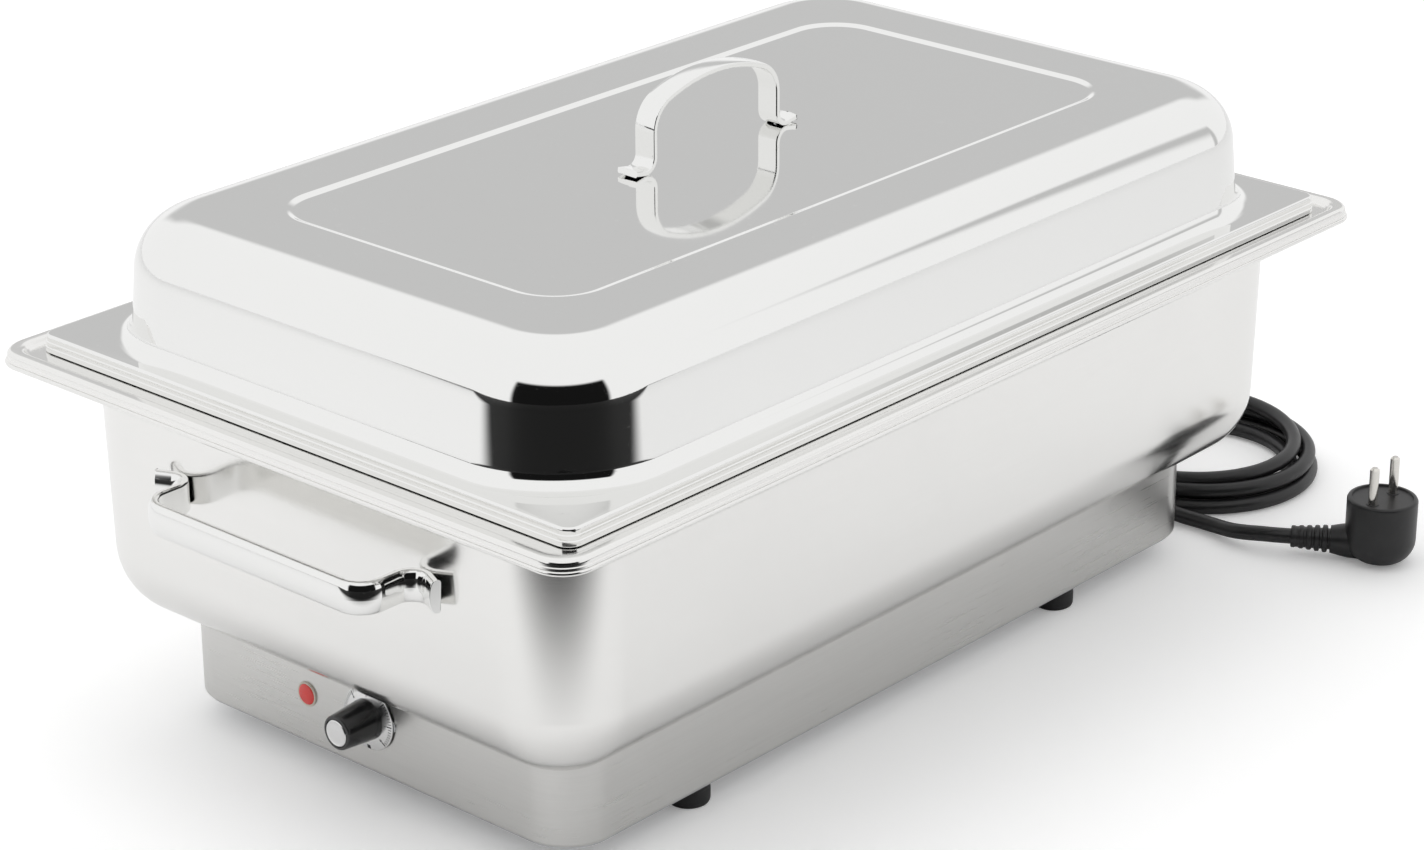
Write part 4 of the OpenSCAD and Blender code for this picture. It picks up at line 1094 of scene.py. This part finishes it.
class BUFFET_OT_lid_handle(Operator):
    """Adds the arched bar handle on the lid"""

    bl_idname = "buffet.lid_handle"
    bl_label = "Lid handle"

    def execute(self, context):
        handle = sizes("handle")
        thick, leg_bend, foot, top = handle.lid_thickness, 16 * MM, 6 * MM, 90 * MM
        half = handle.lid_span / 2
        sweep = math.asin((half - leg_bend) / (top - leg_bend))
        leg = handle.lid_height - thick - leg_bend - foot - (top - leg_bend) * (1 - math.cos(sweep))
        sweep = math.degrees(sweep)
        low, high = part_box("lid_handle")
        path = [(top, -sweep), (leg_bend, -(90 - sweep)), (leg, 0), (foot, 100), (6 * MM, 0)]
        piece = bent_bar("lid_handle", path, "y", thick, handle.lid_width, (0, 0, high[2] - thick / 2))
        bpy.ops.object.select_all(action="DESELECT")
        piece.select_set(True)
        context.view_layer.objects.active = piece
        piece.rotation_euler = (0, 0, math.pi / 2)
        bpy.ops.object.transform_apply(location=False, rotation=True, scale=False)
        place(piece, FINISHES["handle_chrome"], "handle_chrome", "lid", "lid_handle")
        return {"FINISHED"}


# ---------------------------------------------------------------- controls


class BUFFET_OT_controls(Operator):
    """Adds the knob with its cap and dial, the dial's marks, and the lamp"""

    bl_idname = "buffet.controls"
    bl_label = "Controls"

    def execute(self, context):
        low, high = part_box("control_knob")
        x, z = (low[0] + high[0]) / 2, (low[2] + high[2]) / 2
        back, tip = high[1], low[1]
        flat = (math.pi / 2, 0, 0)

        def turned(name, profile, steps=64, caps=(True, True)):
            rings = [(r * MM, (x, y, z), flat) for r, y in profile]
            piece = loft(name, rings, steps, round_ring, caps)
            face_out(piece)
            smooth(piece, 40)
            return piece

        radius = (high[0] - low[0]) / 2 / MM
        tip_r = radius - 1.5
        knob = turned("control_knob", [
            (3.05, back), (radius - 0.3, back), (radius, back - 0.4 * MM), (radius - 0.2, back - 2.4 * MM),
            (tip_r + 0.1, tip + 2.0 * MM), (tip_r, tip + 1.0 * MM), (tip_r - 0.3, tip + 0.3 * MM),
            (tip_r - 0.9, tip), (tip_r - 1.5, tip), (tip_r - 1.8, tip + 0.5 * MM), (3.05, tip + 0.5 * MM),
        ])
        place(knob, FINISHES["knob_black"], "knob_black", "knob", "control_knob")
        cap_low, cap_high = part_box("knob_cap")
        cap_r = (cap_high[0] - cap_low[0]) / 2 / MM
        cap = turned("knob_cap", [
            (2, cap_high[1]), (cap_r, cap_high[1]), (cap_r, cap_low[1] + 0.3 * MM), (cap_r - 0.3, cap_low[1]),
            (cap_r - 0.9, cap_low[1]), (cap_r - 1.1, cap_low[1] + 0.12 * MM), (cap_r - 2.2, cap_low[1] + 0.12 * MM),
            (cap_r - 2.4, cap_low[1] + 0.04 * MM), (1.0, cap_low[1] + 0.04 * MM),
        ])
        place(cap, FINISHES["dial_aluminium"], "dial_aluminium", "knob", "knob_cap")
        dial_low, dial_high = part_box("dial_skirt")
        dial_r = (dial_high[0] - dial_low[0]) / 2 / MM
        face, rear = dial_low[1], dial_high[1]
        dial = turned("dial_skirt", [
            (3.1, rear), (dial_r, rear), (dial_r, rear - 0.35 * MM), (dial_r - 0.3, rear - 0.6 * MM),
            (radius + 0.4, face), (3.1, face),
        ])
        place(dial, FINISHES["dial_aluminium"], "dial_aluminium", "knob", "dial_skirt")
        self.marks(context, x, z, face, rear, dial_r, radius)
        self.lamp()
        return {"FINISHED"}

    def marks(self, context, x, z, face, rear, dial_r, knob_r):
        """Ticks and numbers printed on the sloping dial."""
        slope = (rear - 0.6 * MM - face) / ((dial_r - 0.3 - knob_r - 0.4) * MM)

        def on_dial(r):
            return face + (r - knob_r - 0.4) * MM * slope

        made = []
        ticks = ((dial_r - 2.1, dial_r - 0.4, 0.26, 64), (dial_r - 2.8, dial_r - 0.35, 0.5, 8),
                 (dial_r - 2.2, dial_r - 0.4, 2.0, 0))
        for inner, outer, width, count in ticks:
            piece = open_piece("dial_marks")
            mid = (inner + outer) / 2
            middle = (x, on_dial(mid), z - mid * MM)
            bpy.ops.mesh.primitive_cube_add(size=1, location=middle)
            bpy.ops.transform.resize(value=(width * MM, 0.12 * MM, (outer - inner) * MM), center_override=middle)
            tilt = (outer - mid) * MM * slope
            select_where(piece, lambda co: co.z < middle[2])
            bpy.ops.transform.translate(value=(0, tilt, 0))
            select_where(piece, lambda co: co.z > middle[2])
            bpy.ops.transform.translate(value=(0, -tilt, 0))
            if count:
                bpy.ops.mesh.select_all(action="SELECT")
                bpy.ops.mesh.spin(steps=count - 1, dupli=True, angle=math.tau * (count - 1) / count,
                                  center=(x, 0, z), axis=(0, 1, 0))
                select_where(piece, lambda co: z - co.z > abs(co.x - x) * 1.12)
                bpy.ops.mesh.delete(type="VERT")
            bpy.ops.object.mode_set(mode="OBJECT")
            made.append(piece)
        for number in range(7):
            angle = math.radians(135 - 45 * number)
            bpy.ops.object.select_all(action="DESELECT")
            r = dial_r - 3.9
            where = (x + r * MM * math.sin(angle), on_dial(r) - 0.05 * MM, z + r * MM * math.cos(angle))
            bpy.ops.object.text_add(location=where, rotation=(math.pi / 2, angle, 0))
            figure = context.object
            figure.data.body = str(number)
            figure.data.size = 2.0 * MM
            figure.data.extrude = 0.05 * MM
            figure.data.align_x = "CENTER"
            figure.data.align_y = "CENTER"
            bpy.ops.object.convert(target="MESH")
            bpy.ops.object.transform_apply(location=True, rotation=True, scale=True)
            made.append(context.object)
        marks = join(made)
        marks.name = "dial_marks"
        place(marks, FINISHES["print_black"], "knob_black", "knob")

    def lamp(self):
        low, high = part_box("lamp_lens")
        x, z = (low[0] + high[0]) / 2, (low[2] + high[2]) / 2
        back, tip = high[1], low[1]
        radius = (high[0] - low[0]) / 2 / MM
        flat = (math.pi / 2, 0, 0)
        ring_profile = [(radius - 1.0, back), (radius, back), (radius, back - 0.5 * MM), (radius - 0.25, back - 0.85 * MM),
                        (radius - 0.7, back - 0.95 * MM), (radius - 1.0, back - 0.8 * MM), (radius - 1.0, back)]
        rings = [(r * MM, (x, y, z), flat) for r, y in ring_profile]
        bezel = loft("lamp_bezel", rings, 56, round_ring)
        face_out(bezel)
        smooth(bezel, 50)
        place(bezel, FINISHES["lamp_ivory"], "lamp_ivory", "server")
        lens_profile = [(radius - 1.02, back), (radius - 1.02, back - 0.8 * MM)]
        rise = (back - tip) / MM - 0.9
        for i in range(1, 9):
            t = math.pi / 2 * i / 9
            lens_profile.append(((radius - 1.02) * math.cos(t), back - (0.8 + rise * math.sin(t)) * MM))
        rings = [(r * MM, (x, y, z), flat) for r, y in lens_profile]
        lens = loft("lamp_lens", rings, 56, round_ring, (True, True))
        face_out(lens)
        smooth(lens, 50)
        place(lens, FINISHES["lamp_red"], "lamp_red", "server", "lamp_lens")


# ---------------------------------------------------------------- parts kept from the frame


class BUFFET_OT_inner_parts(Operator):
    """Gives every part that is kept as it is its finish"""

    bl_idname = "buffet.inner_parts"
    bl_label = "Inner parts and fasteners"

    def execute(self, context):
        slots = {part["node"]: part["material_slot"] for part in frame["record"]["subparts"]}
        for name, node in NODES.items():
            for slot in node.material_slots:
                slot.material = FINISHES[slots[name]]
        return {"FINISHED"}


# ---------------------------------------------------------------- panel and registration


PIECES = (
    BUFFET_OT_stage, BUFFET_OT_mains_lead, BUFFET_OT_housing, BUFFET_OT_tank, BUFFET_OT_end_handles,
    BUFFET_OT_food_pan, BUFFET_OT_lid, BUFFET_OT_lid_handle, BUFFET_OT_controls, BUFFET_OT_inner_parts,
)
SETTINGS = {
    "buffet_shell": BuffetShellSizes, "buffet_lid": BuffetLidSizes, "buffet_handle": BuffetHandleSizes,
    "buffet_lead": BuffetLeadSizes, "buffet_finishes": BuffetFinishes,
}


class BUFFET_PT_pieces(Panel):
    """Lists the pieces and their sizes"""

    bl_label = "Electric buffet server"
    bl_idname = "BUFFET_PT_pieces"
    bl_space_type = "VIEW_3D"
    bl_region_type = "UI"
    bl_category = "Buffet"

    def draw(self, context):
        column = self.layout.column(align=True)
        for piece in PIECES:
            column.operator(piece.bl_idname)
        for name, group in SETTINGS.items():
            box = self.layout.box()
            for key in group.__annotations__:
                box.prop(getattr(context.scene, name), key)


def register():
    for group in SETTINGS.values():
        bpy.utils.register_class(group)
    for piece in PIECES:
        bpy.utils.register_class(piece)
    bpy.utils.register_class(BUFFET_PT_pieces)
    for name, group in SETTINGS.items():
        setattr(bpy.types.Scene, name, PointerProperty(type=group))


def unregister():
    for name in SETTINGS:
        delattr(bpy.types.Scene, name)
    bpy.utils.unregister_class(BUFFET_PT_pieces)
    for piece in reversed(PIECES):
        bpy.utils.unregister_class(piece)
    for group in reversed(SETTINGS.values()):
        bpy.utils.unregister_class(group)


def main():
    register()
    for piece in PIECES:
        family, action = piece.bl_idname.split(".")
        getattr(getattr(bpy.ops, family), action)()


if __name__ == "__main__":
    main()
